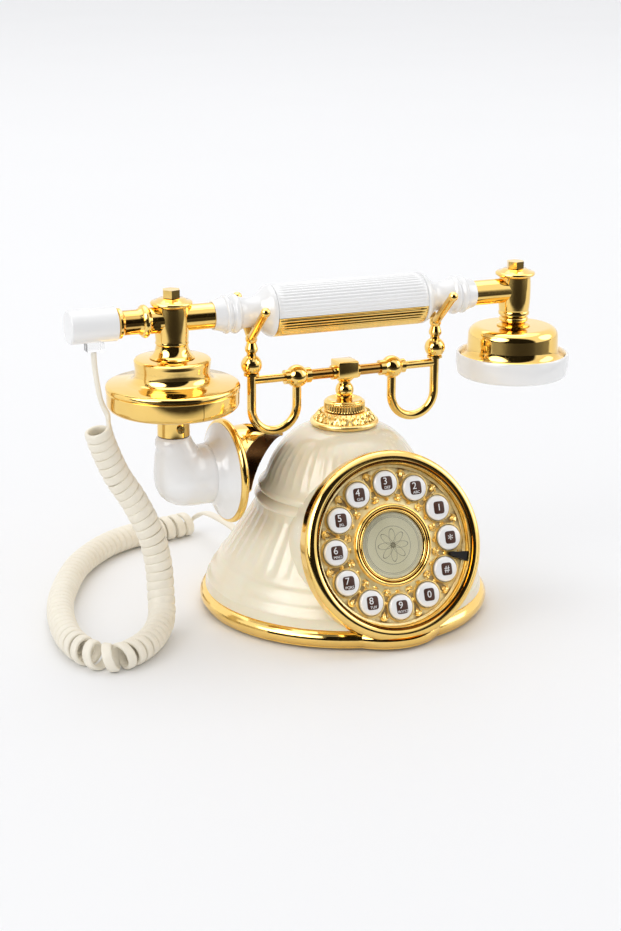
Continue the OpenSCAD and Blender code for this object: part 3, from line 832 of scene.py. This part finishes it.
drop_faces(bell, on_dial_seat)
modify(bell, "SOLIDIFY", thickness=BELL_WALL * MM, offset=-1.0)
smooth(bell, 35)
finish_piece(bell, "base", CREAM, "cream_plastic", "bell_shell")

# %% [markdown]
# ## Cast leaves
# The collar on top of the bell and the plate of the dial carry a cast relief of leaves. One leaf
# with a midrib is modelled from a low sphere, and copies of it are turned, scaled and set in fans.

# %% One leaf
def leaf(length, width, height):
    """A pointed leaf along +Y with a sunken midrib, centred on the plane z = 0."""
    clear_selection()
    bpy.ops.mesh.primitive_uv_sphere_add(segments=12, ring_count=8, radius=MM)
    obj = take(bpy.context.object)
    bpy.ops.object.mode_set(mode="EDIT")
    bpy.ops.mesh.select_all(action="SELECT")
    bpy.ops.transform.resize(value=(width / 2, length / 2, height))
    mesh = bmesh.from_edit_mesh(obj.data)
    for vertex in mesh.verts:
        along_leaf = vertex.co.y / (length / 2 * MM)
        vertex.select_set(along_leaf > 0.35)
    mesh.select_flush_mode()
    bmesh.update_edit_mesh(obj.data)
    bpy.ops.transform.resize(value=(0.35, 1, 0.6), center_override=(0, 0, 0))
    bpy.ops.mesh.select_all(action="DESELECT")
    for vertex in mesh.verts:
        vertex.select_set(abs(vertex.co.x) < 0.02 * width * MM and vertex.co.z > 0)
    mesh.select_flush_mode()
    bmesh.update_edit_mesh(obj.data)
    bpy.ops.transform.translate(value=(0, 0, -0.45 * height * MM))
    bpy.ops.object.mode_set(mode="OBJECT")
    return smooth(obj, 50)


def around(template, count, place, start=0.0):
    """Copies of a template set at equal angles round +Z."""
    return [twin(template, turn("Z", start + 360 * k / count) @ place) for k in range(count)]


# %% [markdown]
# ## The collar and the ring nut
# The collar is a turned skirt of plated metal with a rolled lip. Two rows of leaves lie on its slope.
# The ring nut above it clamps the collar; its knurl is a row of upright ribs, pressed in with the
# same vertex group and Displace modifier as the flutes.

# %% Collar
collar = turned("collar_skirt", [(5.9, 95.1), (16.2, 95.1)] + arc(16.0, 96.6, 1.5, -70, 80, 8)
                + [(14.9, 97.9), (13.9, 99.6), (12.6, 101.1), (11.4, 102.2), (5.9, 102.4),
                   (5.9, 95.1)], 96)
COLLAR_LEAVES = 14
COLLAR_SLOPE = turn("X", 48)
big_leaf = leaf(5.4, 3.0, 0.9)
small_leaf = leaf(3.6, 1.7, 0.8)
leaves = around(big_leaf, COLLAR_LEAVES, shift(0, -14.1, 99.5) @ COLLAR_SLOPE)
leaves += around(small_leaf, COLLAR_LEAVES, shift(0, -15.0, 98.6) @ COLLAR_SLOPE, 180 / COLLAR_LEAVES)
leaves += around(small_leaf, 2 * COLLAR_LEAVES, shift(0, -12.9, 101.2) @ COLLAR_SLOPE, 90 / COLLAR_LEAVES)
discard(big_leaf, small_leaf)
collar = join("collar_flange_cast", [collar] + leaves)
finish_piece(collar, "base", OLD_GOLD, "gold_plate", "collar_flange")

# %% Ring nut
RIBS = 44
nut = turned("ring_nut_knurled",
             [(4.2, 102.5), (10.0, 102.5), (10.5, 102.9)] + [(10.5, 103.1 + 0.5 * k) for k in range(8)]
             + [(10.5, 106.9), (10.1, 107.4), (9.5, 107.5), (9.3, 108.1), (8.6, 108.4), (7.2, 108.0),
                (5.4, 107.1), (4.15, 106.9), (4.15, 102.5)], RIBS * 6, crisp=50)


def nut_ribs(point):
    groove = (0.5 + 0.5 * math.cos(RIBS * math.atan2(point.y, point.x))) ** 1.6
    ends = ease(point.z, 102.8, 103.4) * (1 - ease(point.z, 106.3, 106.9))
    return groove * ends * (math.hypot(point.x, point.y) > 9.6)


press(nut, "knurl", 0.55, nut_ribs)
finish_piece(nut, "base", GOLD, "gold_plate", "ring_nut")

# %% [markdown]
# ## The dial
# The bezel is a deep polished ring with a thin inner lip and a dark groove behind it. The plate is
# a disc with twelve holes, a raised collar round each, and leaves between them. It is drilled with
# a Boolean modifier, because the holes have to be open for the buttons to move.

# %% Bezel
bezel = turned("dial_bezel_ring",
               [(39.75, -7.9), (45.9, -7.9), (46.6, -7.2), (46.75, -5.4), (46.6, -3.4)]
               + arc(43.3, -1.2, 3.4, 0, 118, 14)
               + [(41.5, 1.0), (41.3, 0.6), (41.0, 0.7), (40.8, 1.3), (40.3, 1.3), (40.0, 0.8),
                  (39.8, -0.4), (39.75, -3), (39.75, -7.9)], 192, ON_DIAL)
finish_piece(bezel, "base", GOLD, "gold_plate", "dial_bezel")

# %% Plate
BUTTON_CIRCLE = 30.5
BUTTON_R = 6.2
HOLE_R = BUTTON_R + 0.25
BUTTONS = ["star", "1", "2", "3", "4", "5", "6", "7", "8", "9", "0", "hash"]
COUNT = len(BUTTONS)
BETWEEN = 180 / COUNT       # half the angle from one button to the next
plate = turned("dial_plate_disc", [(0, -4.5), (39.6, -4.5), (39.6, -2.4), (39.2, -2.2), (38.4, -2.4),
                                   (38.1, -2.9), (21.6, -3.0), (21.2, -2.9), (0, -2.9)], 144)
drill = turned("drill", [(0, -6), (HOLE_R, -6), (HOLE_R, 0), (0, 0)], 48)
carve(plate, join("drills", around(drill, COUNT, shift(BUTTON_CIRCLE))))
collet = turned("collet", [(HOLE_R, -3.1), (HOLE_R, -2.0), (BUTTON_R + 0.5, -1.75),
                           (BUTTON_R + 0.9, -1.8), (BUTTON_R + 1.1, -2.2), (BUTTON_R + 1.2, -3.1)], 48)
relief = around(collet, COUNT, shift(BUTTON_CIRCLE))
outer_leaf = leaf(4.2, 1.9, 0.9)
inner_leaf = leaf(3.0, 1.5, 0.8)
# Rings of leaves: the leaf, where the ring starts, its radius, its height, the leaf's lean and its step.
LEAF_RINGS = [(outer_leaf, BETWEEN, 36.3, -2.8, 180, 1.3), (outer_leaf, BETWEEN, 36.9, -2.8, 238, 1.3),
              (outer_leaf, BETWEEN, 36.9, -2.8, 122, 1.3), (inner_leaf, BETWEEN, 22.0, -2.8, -52, 1.5),
              (inner_leaf, BETWEEN, 22.0, -2.8, 0, 1.5), (inner_leaf, BETWEEN, 22.0, -2.8, 52, 1.5),
              (inner_leaf, BETWEEN, 29.2, -2.9, 0, 0), (inner_leaf, BETWEEN, 24.3, -2.9, 62, 0.9),
              (inner_leaf, BETWEEN, 24.3, -2.9, -62, 0.9), (inner_leaf, BETWEEN, 34.2, -2.9, 28, 0.9),
              (inner_leaf, BETWEEN, 34.2, -2.9, -28, 0.9), (inner_leaf, 0, 22.6, -2.95, 90, 0),
              (inner_leaf, 0, 37.2, -2.95, 90, 0)]
for template, start, radius, height, lean, step in LEAF_RINGS:
    relief += around(template, COUNT, shift(0, radius, height) @ turn("Z", lean) @ shift(0, step), start)
for piece in relief:
    piece.data.materials.append(OLD_GOLD)
plate.data.materials.append(GROUND_GOLD)
discard(drill, collet, outer_leaf, inner_leaf)
plate = settle(join("dial_plate_cast", [smooth(plate, 40)] + relief), ON_DIAL)
finish_piece(plate, "base", None, "gold_plate", "dial_plate")

# %% Centre ring, card and lens
ring = turned("centre_ring_turned",
              [(16.35, -2.9), (20.4, -2.9), (20.4, -1.6)] + arc(19.3, -1.2, 1.0, 0, 170, 8)
              + [(18.2, -1.6), (17.9, -1.6)] + arc(17.1, -1.3, 0.7, 20, 180, 6) + [(16.35, -2.9)],
              128, ON_DIAL)
finish_piece(ring, "base", GOLD, "gold_plate", "centre_ring")

card = turned("dial_card_disc", [(0, -2.95), (16.0, -2.95), (16.0, -2.55), (0, -2.55)], 96)
settle(card, ON_DIAL)
finish_piece(card, "base", CARD, "card_paper", "dial_card")


def printed_ring(radius, width, sides=96):
    """A thin flat ring of ink on the card."""
    low, high = -2.56, -2.52
    return turned("ink_ring", [(radius, low), (radius + width, low), (radius + width, high),
                               (radius, high), (radius, low)], sides)


PETAL_SHAPE = Matrix.Diagonal((0.62, 1.5, 1, 1))
petal = printed_ring(2.4, 0.22, 40)
petals = around(petal, 8, shift(0, 4.2, 0) @ PETAL_SHAPE)
discard(petal)
INK_RINGS = [(1.0, 0.35), (9.2, 0.18), (13.6, 0.16), (14.3, 0.10)]
motif = join("card_rosette", petals + [printed_ring(*ring) for ring in INK_RINGS])
settle(motif, ON_DIAL)
finish_piece(motif, "base", INK, "card_paper")

LENS_R = 16.1
LENS_EDGE = -1.9
LENS_RISE = 1.6
dome = [(LENS_R * math.cos(math.radians(a)), LENS_EDGE + LENS_RISE * math.sin(math.radians(a)))
        for a in range(10, 90, 10)]
lens = turned("dial_lens_dome", [(0, -2.45), (LENS_R, -2.45), (LENS_R, LENS_EDGE)] + dome
              + [(0, LENS_EDGE + LENS_RISE)], 96, ON_DIAL, crisp=50)
finish_piece(lens, "base", CLEAR, "clear_lens", "dial_lens")

# %% [markdown]
# ## The buttons
# Twelve caps, each turned with a soft dome and a thin skirt. A brown label with rounded corners lies
# on every cap, with a number and, under it, the letters that any telephone has. The label has to
# follow the dome, so a Shrinkwrap modifier drapes it onto the cap; the figures stand in it as in
# a two-colour moulding.

# %% Buttons
LETTERS = {"2": "ABC", "3": "DEF", "4": "GHI", "5": "JKL", "6": "MNO", "7": "PQRS", "8": "TUV",
           "9": "WXYZ"}
SIGNS = {"star": "*", "hash": "#"}
FIGURE_SIZE = 4.8
STAR_SIZE = 6.4
LETTER_SIZE = 1.9
FIGURE_TOP = 0.13       # height of the figures over the crown of the cap
FIGURE_DEPTH = 0.4
LABEL_SIZE = (6.0, 6.6)
SHORT_LABEL_SIZE = (5.6, 6.2)
BLUNT = 5               # the higher, the squarer the label's corners


def drape(obj, target, lift, thickness):
    """Lay a flat mesh on the target from above, and give it a thickness."""
    modify(obj, "SHRINKWRAP", target=target, wrap_method="PROJECT", use_project_z=True,
           use_negative_direction=True, use_positive_direction=True, offset=lift * MM)
    return modify(obj, "SOLIDIFY", thickness=thickness * MM, offset=1.0)


def label(width, height):
    """A flat grid with rounded corners, held above the cap."""
    clear_selection()
    bpy.ops.mesh.primitive_grid_add(x_subdivisions=14, y_subdivisions=14, size=2 * MM,
                                    location=(0, 0, 3 * MM))
    obj = settle(bpy.context.object)
    for vertex in obj.data.vertices:
        x, y = vertex.co.x / MM, vertex.co.y / MM
        edge = (abs(x) ** BLUNT + abs(y) ** BLUNT) ** (1 / BLUNT)
        squeeze = max(abs(x), abs(y)) / edge if edge else 1
        vertex.co.x = x * squeeze * width / 2 * MM
        vertex.co.y = y * squeeze * height / 2 * MM
    return obj


def lettering(words, size, place):
    """Raised flat letters as a mesh, centred at a place on the cap."""
    clear_selection()
    bpy.ops.object.text_add(location=(0, 0, 0))
    obj = bpy.context.object
    obj.data.body = words
    obj.data.size = size * MM
    obj.data.align_x = "CENTER"
    obj.data.align_y = "CENTER"
    bpy.ops.object.convert(target="MESH")
    obj = settle(bpy.context.object, shift(place[0], place[1], FIGURE_TOP))
    return modify(obj, "SOLIDIFY", thickness=FIGURE_DEPTH * MM, offset=-1.0)


CAP_FOOT_R = BUTTON_R + 0.8
CAP_OUTLINE = ([(0, -6.1), (CAP_FOOT_R, -6.1), (CAP_FOOT_R, -5.2), (BUTTON_R, -5.2), (BUTTON_R, -2.4)]
               + arc(BUTTON_R - 1.5, -1.9, 1.5, 0, 62, 6) + [(3.6, -0.24), (1.8, -0.06), (0, 0)])
for k, name in enumerate(BUTTONS):
    cap = turned("cap_" + name, CAP_OUTLINE, 56, crisp=50)
    with_letters = name in LETTERS
    plate_label = drape(label(*(LABEL_SIZE if with_letters else SHORT_LABEL_SIZE)), cap, 0.02, 0.05)
    spot = (-0.7, 0.9) if with_letters else (0, 0)
    size = FIGURE_SIZE
    if name == "star":
        spot = (0, -1.1)
        size = STAR_SIZE
    white_parts = [cap, lettering(SIGNS.get(name, name), size, spot)]
    if with_letters:
        white_parts.append(lettering(LETTERS[name], LETTER_SIZE, (0.1, -2.2)))
    cap = join("button_cap_" + name, white_parts)
    angle = 360 / COUNT * k
    place = ON_DIAL @ turn("Z", angle) @ shift(BUTTON_CIRCLE) @ turn("Z", -angle)
    settle(cap, place)
    settle(plate_label, place)
    plate_label.name = "button_label_" + name
    finish_piece(cap, "button_" + name, BUTTON, "button_white", "button_" + name)
    finish_piece(plate_label, "button_" + name, BROWN, "button_white")

# %% [markdown]
# ## The handset
# A metal tube carries everything. In its middle sits a grip whose upper half is white and whose lower
# half is plated; both halves have the same reeds. The grip is turned once, its grooves are pressed
# in, and it is cut along its length into the two pieces.

# %% Grip
AXIS_Z = 157
ALONG = shift(0, 0, AXIS_Z) @ turn("Y", 90)
GRIP_HALF = 40.4
GRIP_R = 13.0
TUBE_R = 6.5
REEDS = 46
REED_DEPTH = 0.42


def reeds(point):
    groove = (0.5 + 0.5 * math.cos(REEDS * math.atan2(point.y, point.x))) ** 2.2
    ends = ease(point.z, -38.6, -37.2) * (1 - ease(point.z, 37.2, 38.6))
    return groove * ends * (math.hypot(point.x, point.y) > 12)


half_rows = [(GRIP_R, z) for z in (0, 15, 30, 35.9, 36.9, 37.9)]
half_rows += [(GRIP_R, GRIP_HALF - 0.4), (GRIP_R - 0.4, GRIP_HALF), (TUBE_R, GRIP_HALF)]
other_half = [(r, -z) for r, z in reversed(half_rows[1:])]
reeded = turned("grip_blank", other_half + half_rows + other_half[:1], REEDS * 8, crisp=50)
press(reeded, "reeds", REED_DEPTH, reeds)
settle(reeded, ALONG)
SPLIT = AXIS_Z - 1.6
SPLIT_GAP = 0.05        # half the gap between the two halves
strip = twin(reeded, Matrix.Identity(4))
cut(reeded, (0, 0, SPLIT + SPLIT_GAP), (0, 0, -1), fill=True)
cut(strip, (0, 0, SPLIT - SPLIT_GAP), (0, 0, 1), fill=True)
reeded.name, strip.name = "grip_upper", "grip_gold_strip"
finish_piece(smooth(reeded, 50), "handset", WHITE, "white_plastic", "grip")
finish_piece(smooth(strip, 50), "handset", GOLD, "gold_plate", "grip_strip")

# %% Turned ends of the grip
THROAT = [(13.0, 41.2), (12.2, 43), (9.8, 45.6), (8.0, 48), (7.4, 51), (7.6, 54.4), (8.2, 57)]
END = ([(TUBE_R, 40.5), (12.5, 40.5), (13.0, 40.9)] + flat_points(THROAT, 4) + [(8.3, 57.6)]
       + arc(7.9, 59.8, 1.9, -50, 70, 8) + [(8.2, 62.2)] + arc(8.2, 64.3, 1.3, -60, 80, 6)
       + [(8.4, 66.4), (7.6, 68.6), (7.3, 70.4), (7.0, 71), (TUBE_R, 71), (TUBE_R, 40.5)])
right_end = turned("end_right", END, 96, ALONG)
left_end = turned("end_left", END, 96, turn("Z", 180) @ ALONG)
ends = join("grip_turned_ends", [right_end, left_end])
finish_piece(ends, "handset", WHITE, "white_plastic", "grip_ends")

# %% [markdown]
# The transmitter hangs from the left post. From the top down it has a domed flange with a nut, a
# barrel through which the tube passes, a spun cup with two steps, a wide ring with a seam, and a
# short collar that holds the horn. Each is turned, because each is really made so.

# %% Posts
TX_X, RX_X = -91.6, 96
tx_post = turned("transmitter_barrel",
                 [(0, 138.1), (11.0, 138.1)]
                 + flat_points([(11.2, 138.5), (9.6, 139.8), (8.3, 142.2), (7.8, 144.6)], 4)
                 + [(8.2, 145.0), (8.3, 145.6), (8.0, 146.2)]
                 + flat_points([(8.0, 146.4), (8.35, 152), (8.45, 157), (8.3, 161), (8.1, 163.2)], 4)
                 + [(8.8, 163.7)] + arc(9.2, 164.9, 1.1, -70, 80, 6)
                 + [(7.8, 166.2), (6.4, 167.2), (0, 167.5)], 72, shift(TX_X))
finish_piece(tx_post, "handset", GOLD, "gold_plate", "transmitter_post")
rx_post = turned("receiver_barrel",
                 [(0, 138.3), (8.6, 138.3), (8.7, 138.9), (6.6, 139.7), (5.9, 140.4)]
                 + arc(6.3, 141.9, 1.3, -70, 70, 6)
                 + [(6.6, 143.4), (7.9, 144.2), (8.1, 145.4), (7.7, 146.2)]
                 + flat_points([(7.8, 146.6), (8.2, 151), (8.3, 157), (8.2, 161), (8.0, 164)], 4)
                 + [(8.8, 164.5)] + arc(9.2, 165.7, 1.1, -70, 80, 6)
                 + [(7.8, 167.0), (6.4, 168.0), (0, 168.3)], 72, shift(RX_X))
finish_piece(rx_post, "handset", GOLD, "gold_plate", "receiver_post")

# %% Transmitter cup and ring
cup = turned("transmitter_cup_spun",
             [(0, 137.9), (17.2, 137.9), (18.2, 137.6), (18.8, 136.8), (18.7, 135.7)]
             + flat_points([(18.7, 135.2), (18.5, 133.6), (18.3, 131.2), (18.7, 129), (20.2, 127.1),
                            (23.4, 126)], 5)
             + [(31.6, 125.4), (32.5, 125.0), (32.9, 124.2), (32.9, 123.0), (32.4, 122.5),
                (29.5, 122.5), (29.2, 124.0), (15, 125.2), (13.6, 130), (14.6, 136), (0, 136)],
             128, shift(TX_X))
finish_piece(cup, "handset", GOLD, "gold_plate", "transmitter_cup")
lower = turned("transmitter_ring_spun",
               [(5.9, 98.7), (7.6, 98.7), (8.0, 99.1), (8.0, 111.4), (8.4, 112.2), (27.6, 112.2)]
               + arc(28.4, 116.4, 4.2, -85, -8, 9)
               + [(32.6, 121.9), (32.2, 122.35), (30.6, 122.35), (30.4, 116.4), (28.6, 114.1),
                  (5.9, 113.9), (5.9, 98.7)], 128)
seam = box_piece("seam", (-0.16, -34, 113.2), (0.16, -31.4, 122.0))
carve(lower, settle(seam, turn("Z", 8)))
settle(smooth(lower, 40), shift(TX_X))
finish_piece(lower, "handset", GOLD, "gold_plate", "transmitter_ring")

# %% [markdown]
# ## The horn
# The horn is a white elbow that ends in a flare, a gold ring, and a scoop cut slantwise. The elbow
# bends so tightly that extruded rings would cross on its inner side. So its rings all fan out from
# one point at the inner corner, and each is drawn by formula; the rest is turned. A notch in the
# scoop lets it pass the cradle when the handset is lifted.

# %% Horn elbow
HORN_YAW = 3
HORN_Z = 77
ON_HORN = shift(TX_X, 0, 0) @ turn("Z", HORN_YAW)
CORNER = Vector((12.4, 0, 92.6))
CORNER_GAP = 0.7        # distance from the inner corner to the skin
FLARE_Z = 76.9          # height of the middle of the flare
ELBOW_WALL = 1.6
NECK = [(0, 98.5, 7.9), (0, 97.6, 8.6), (0, 96.2, 9.2), (0.4, 94.4, 9.8)]    # distance out, height, radius
BEND = [(0, 10.2), (8, 10.6), (16, 11.1), (24, 11.8), (31, 12.7), (38, 13.7), (45, 14.7), (52, 15.4),
        (59, 15.7), (66, 15.7), (73, 15.5), (81, 15.2), (90, 15.0)]          # lean in degrees, radius
FLARE = [(15, 15.0), (17.3, 15.1), (17.6, 14.8), (17.9, 15.2), (19.6, 15.9), (21.4, 17.3), (23, 19.4),
         (24.4, 22.0), (25.4, 24.4)]                                         # distance out, radius


def leaning_ring(centre, lean, radius, sides=72):
    """Points of a ring that leans about the Y direction, in metres."""
    tilt = turn("Y", -lean)
    steps = [2 * math.pi * k / sides for k in range(sides)]
    return [(centre + tilt @ Vector((radius * math.cos(b), radius * math.sin(b), 0))) * MM for b in steps]


def elbow_rings():
    """The rings of the elbow, from the collar down and round to the flare."""
    rings = [leaning_ring(Vector((out, 0, height)), 0, radius) for out, height, radius in NECK]
    for lean, radius in BEND:
        toward_corner = turn("Y", -lean) @ Vector((radius + CORNER_GAP, 0, 0))
        rings.append(leaning_ring(CORNER - toward_corner, lean, radius))
    return rings + [leaning_ring(Vector((out, 0, FLARE_Z)), 90, radius) for out, radius in FLARE]


elbow = skin("horn_elbow_moulded", elbow_rings())
modify(elbow, "SOLIDIFY", thickness=ELBOW_WALL * MM, offset=-1.0)
settle(smooth(elbow, 50), ON_HORN)
finish_piece(elbow, "handset", WHITE, "white_plastic", "horn_elbow")

# %% Horn ring and scoop
OUT_OF_HORN = ON_HORN @ shift(0, 0, HORN_Z) @ turn("Y", 90)
horn_ring = turned("horn_ring", [(20.5, 25.6), (24.6, 25.6)] + arc(24.4, 27.6, 2.0, -80, 70, 8)
                   + [(23.6, 29.6), (20.5, 29.7), (20.5, 25.6)], 96, OUT_OF_HORN)
SCOOP = [(19.8, 25.6), (20.4, 29), (21.5, 33), (22, 37), (21.9, 42), (20.1, 48), (17.7, 54), (14.6, 61)]
SCOOP_WALL = 1.3
FACING_IN = -6 * MM     # a face with less than this looks towards the scoop's own axis
NOTCH_LOW = (-53.3, -6, HORN_Z)
NOTCH_HIGH = (-13.3, 6, HORN_Z + 30)
scoop = turned("horn_scoop_skin", flat_points(SCOOP, 5), 144)


def beyond(lean, dip):
    """The direction square to a plane that leans and dips away from a plain cross cut."""
    lean, dip = math.radians(lean), math.radians(dip)
    return (math.cos(lean) * math.sin(dip), -math.sin(lean), math.cos(lean) * math.cos(dip))


# The slanting cuts: how far out each crosses the axis, how far it leans, and how far it dips.
for out, lean, dip in ((60, 60, 0), (53, 10, 26.5), (50, 36.6, 42)):
    cut(scoop, (0, 0, out), beyond(lean, dip))
modify(scoop, "SOLIDIFY", thickness=SCOOP_WALL * MM, offset=-1.0)
scoop.data.materials.append(GOLD)
scoop.data.materials.append(PAINTED_SHADE_GOLD)
# Faces that look into the scoop take the near-black gold: painted shade inside the horn.
for face in scoop.data.polygons:
    away = face.center.x * face.normal.x + face.center.y * face.normal.y
    face.material_index = int(away < FACING_IN)
settle(scoop, OUT_OF_HORN)
carve(scoop, box_piece("notch", NOTCH_LOW, NOTCH_HIGH))
smooth(scoop, 40)
horn_ring.data.materials.append(GOLD)
horn = join("horn_scoop_plated", [horn_ring, scoop])
finish_piece(horn, "handset", None, "gold_plate", "horn_scoop")

# %% [markdown]
# ## The receiver
# A spun gold cup sits in a white ring that lies against the ear. The ring is closed underneath by
# a dished face with a few sound holes.

# %% Receiver
ear_cup = turned("receiver_cup_spun",
                 [(0, 138.2), (17.6, 138.2)] + arc(18.4, 133.2, 5.0, 82, 5, 9)
                 + [(23.6, 127.6), (24.0, 125.0), (25.0, 123.2), (26.9, 122.4), (27.0, 121.2), (21.8, 121.2),
                    (21.8, 134), (19, 136.4), (0, 136.4)], 128, shift(RX_X))
finish_piece(ear_cup, "handset", GOLD, "gold_plate", "receiver_cup")
ear = turned("ear_ring_moulded",
             [(0, 113.6), (14, 113.2), (22.6, 112.3), (24.4, 112.0), (26.4, 112.0)]
             + arc(26.4, 114.4, 2.4, -80, -5, 7)
             + [(29.3, 118), (29.4, 123.2), (29.0, 123.9), (28.2, 124.0), (27.6, 123.4), (27.2, 121),
                (27.2, 115.1), (0, 115.1)], 128)
hole = turned("sound_hole", [(0, 110), (1.0, 110), (1.0, 118), (0, 118)], 20)
carve(ear, join("sound_holes", around(hole, 6, shift(5)) + [hole]))
settle(smooth(ear, 40), shift(RX_X))
finish_piece(ear, "handset", WHITE, "white_plastic", "ear_ring")

# %% [markdown]
# ## The cradle's block
# The crossbars meet in a square block. Its edges are rounded with a Bevel modifier, so
# that they catch a thin line of light, as plated castings do.

# %% Block
block = box_piece("block", (-5.5, -5.5, 119.7), (5.5, 5.5, 128.4))
modify(block, "BEVEL", width=0.7 * MM, segments=3)
neck = turned("block_neck", [(0, 117.3), (3.2, 117.3), (5.0, 119.2), (5.2, 119.8), (0, 119.8)], 48)
block = join("cradle_block_cast", [smooth(block, 30), neck])
finish_piece(block, "cradle", GOLD, "gold_plate", "cradle_block")

# %% [markdown]
# ## Parts that are used as they are
# Rods, tubes, screws, the feet and everything inside the bell need no finer mesh than the mechanical
# model has. They keep their shape and only get a finish, looked up by the material that each
# part's record names.

# %% Carried-over parts
PLAIN = {"gold_plate": GOLD, "cream_plastic": CREAM, "white_plastic": WHITE, "plain_steel": STEEL,
         "black_plastic": BLACK, "foot_rubber": RUBBER, "board_green": BOARD, "pad_grey": PAD,
         "card_paper": CARD, "clear_lens": CLEAR, "button_white": BUTTON, "cord_cream": CORD}
for part in frame["record"]["subparts"]:
    node = frame["nodes"][part["node"]]
    node.data.materials.clear()
    node.data.materials.append(PLAIN[part["material_slot"]])
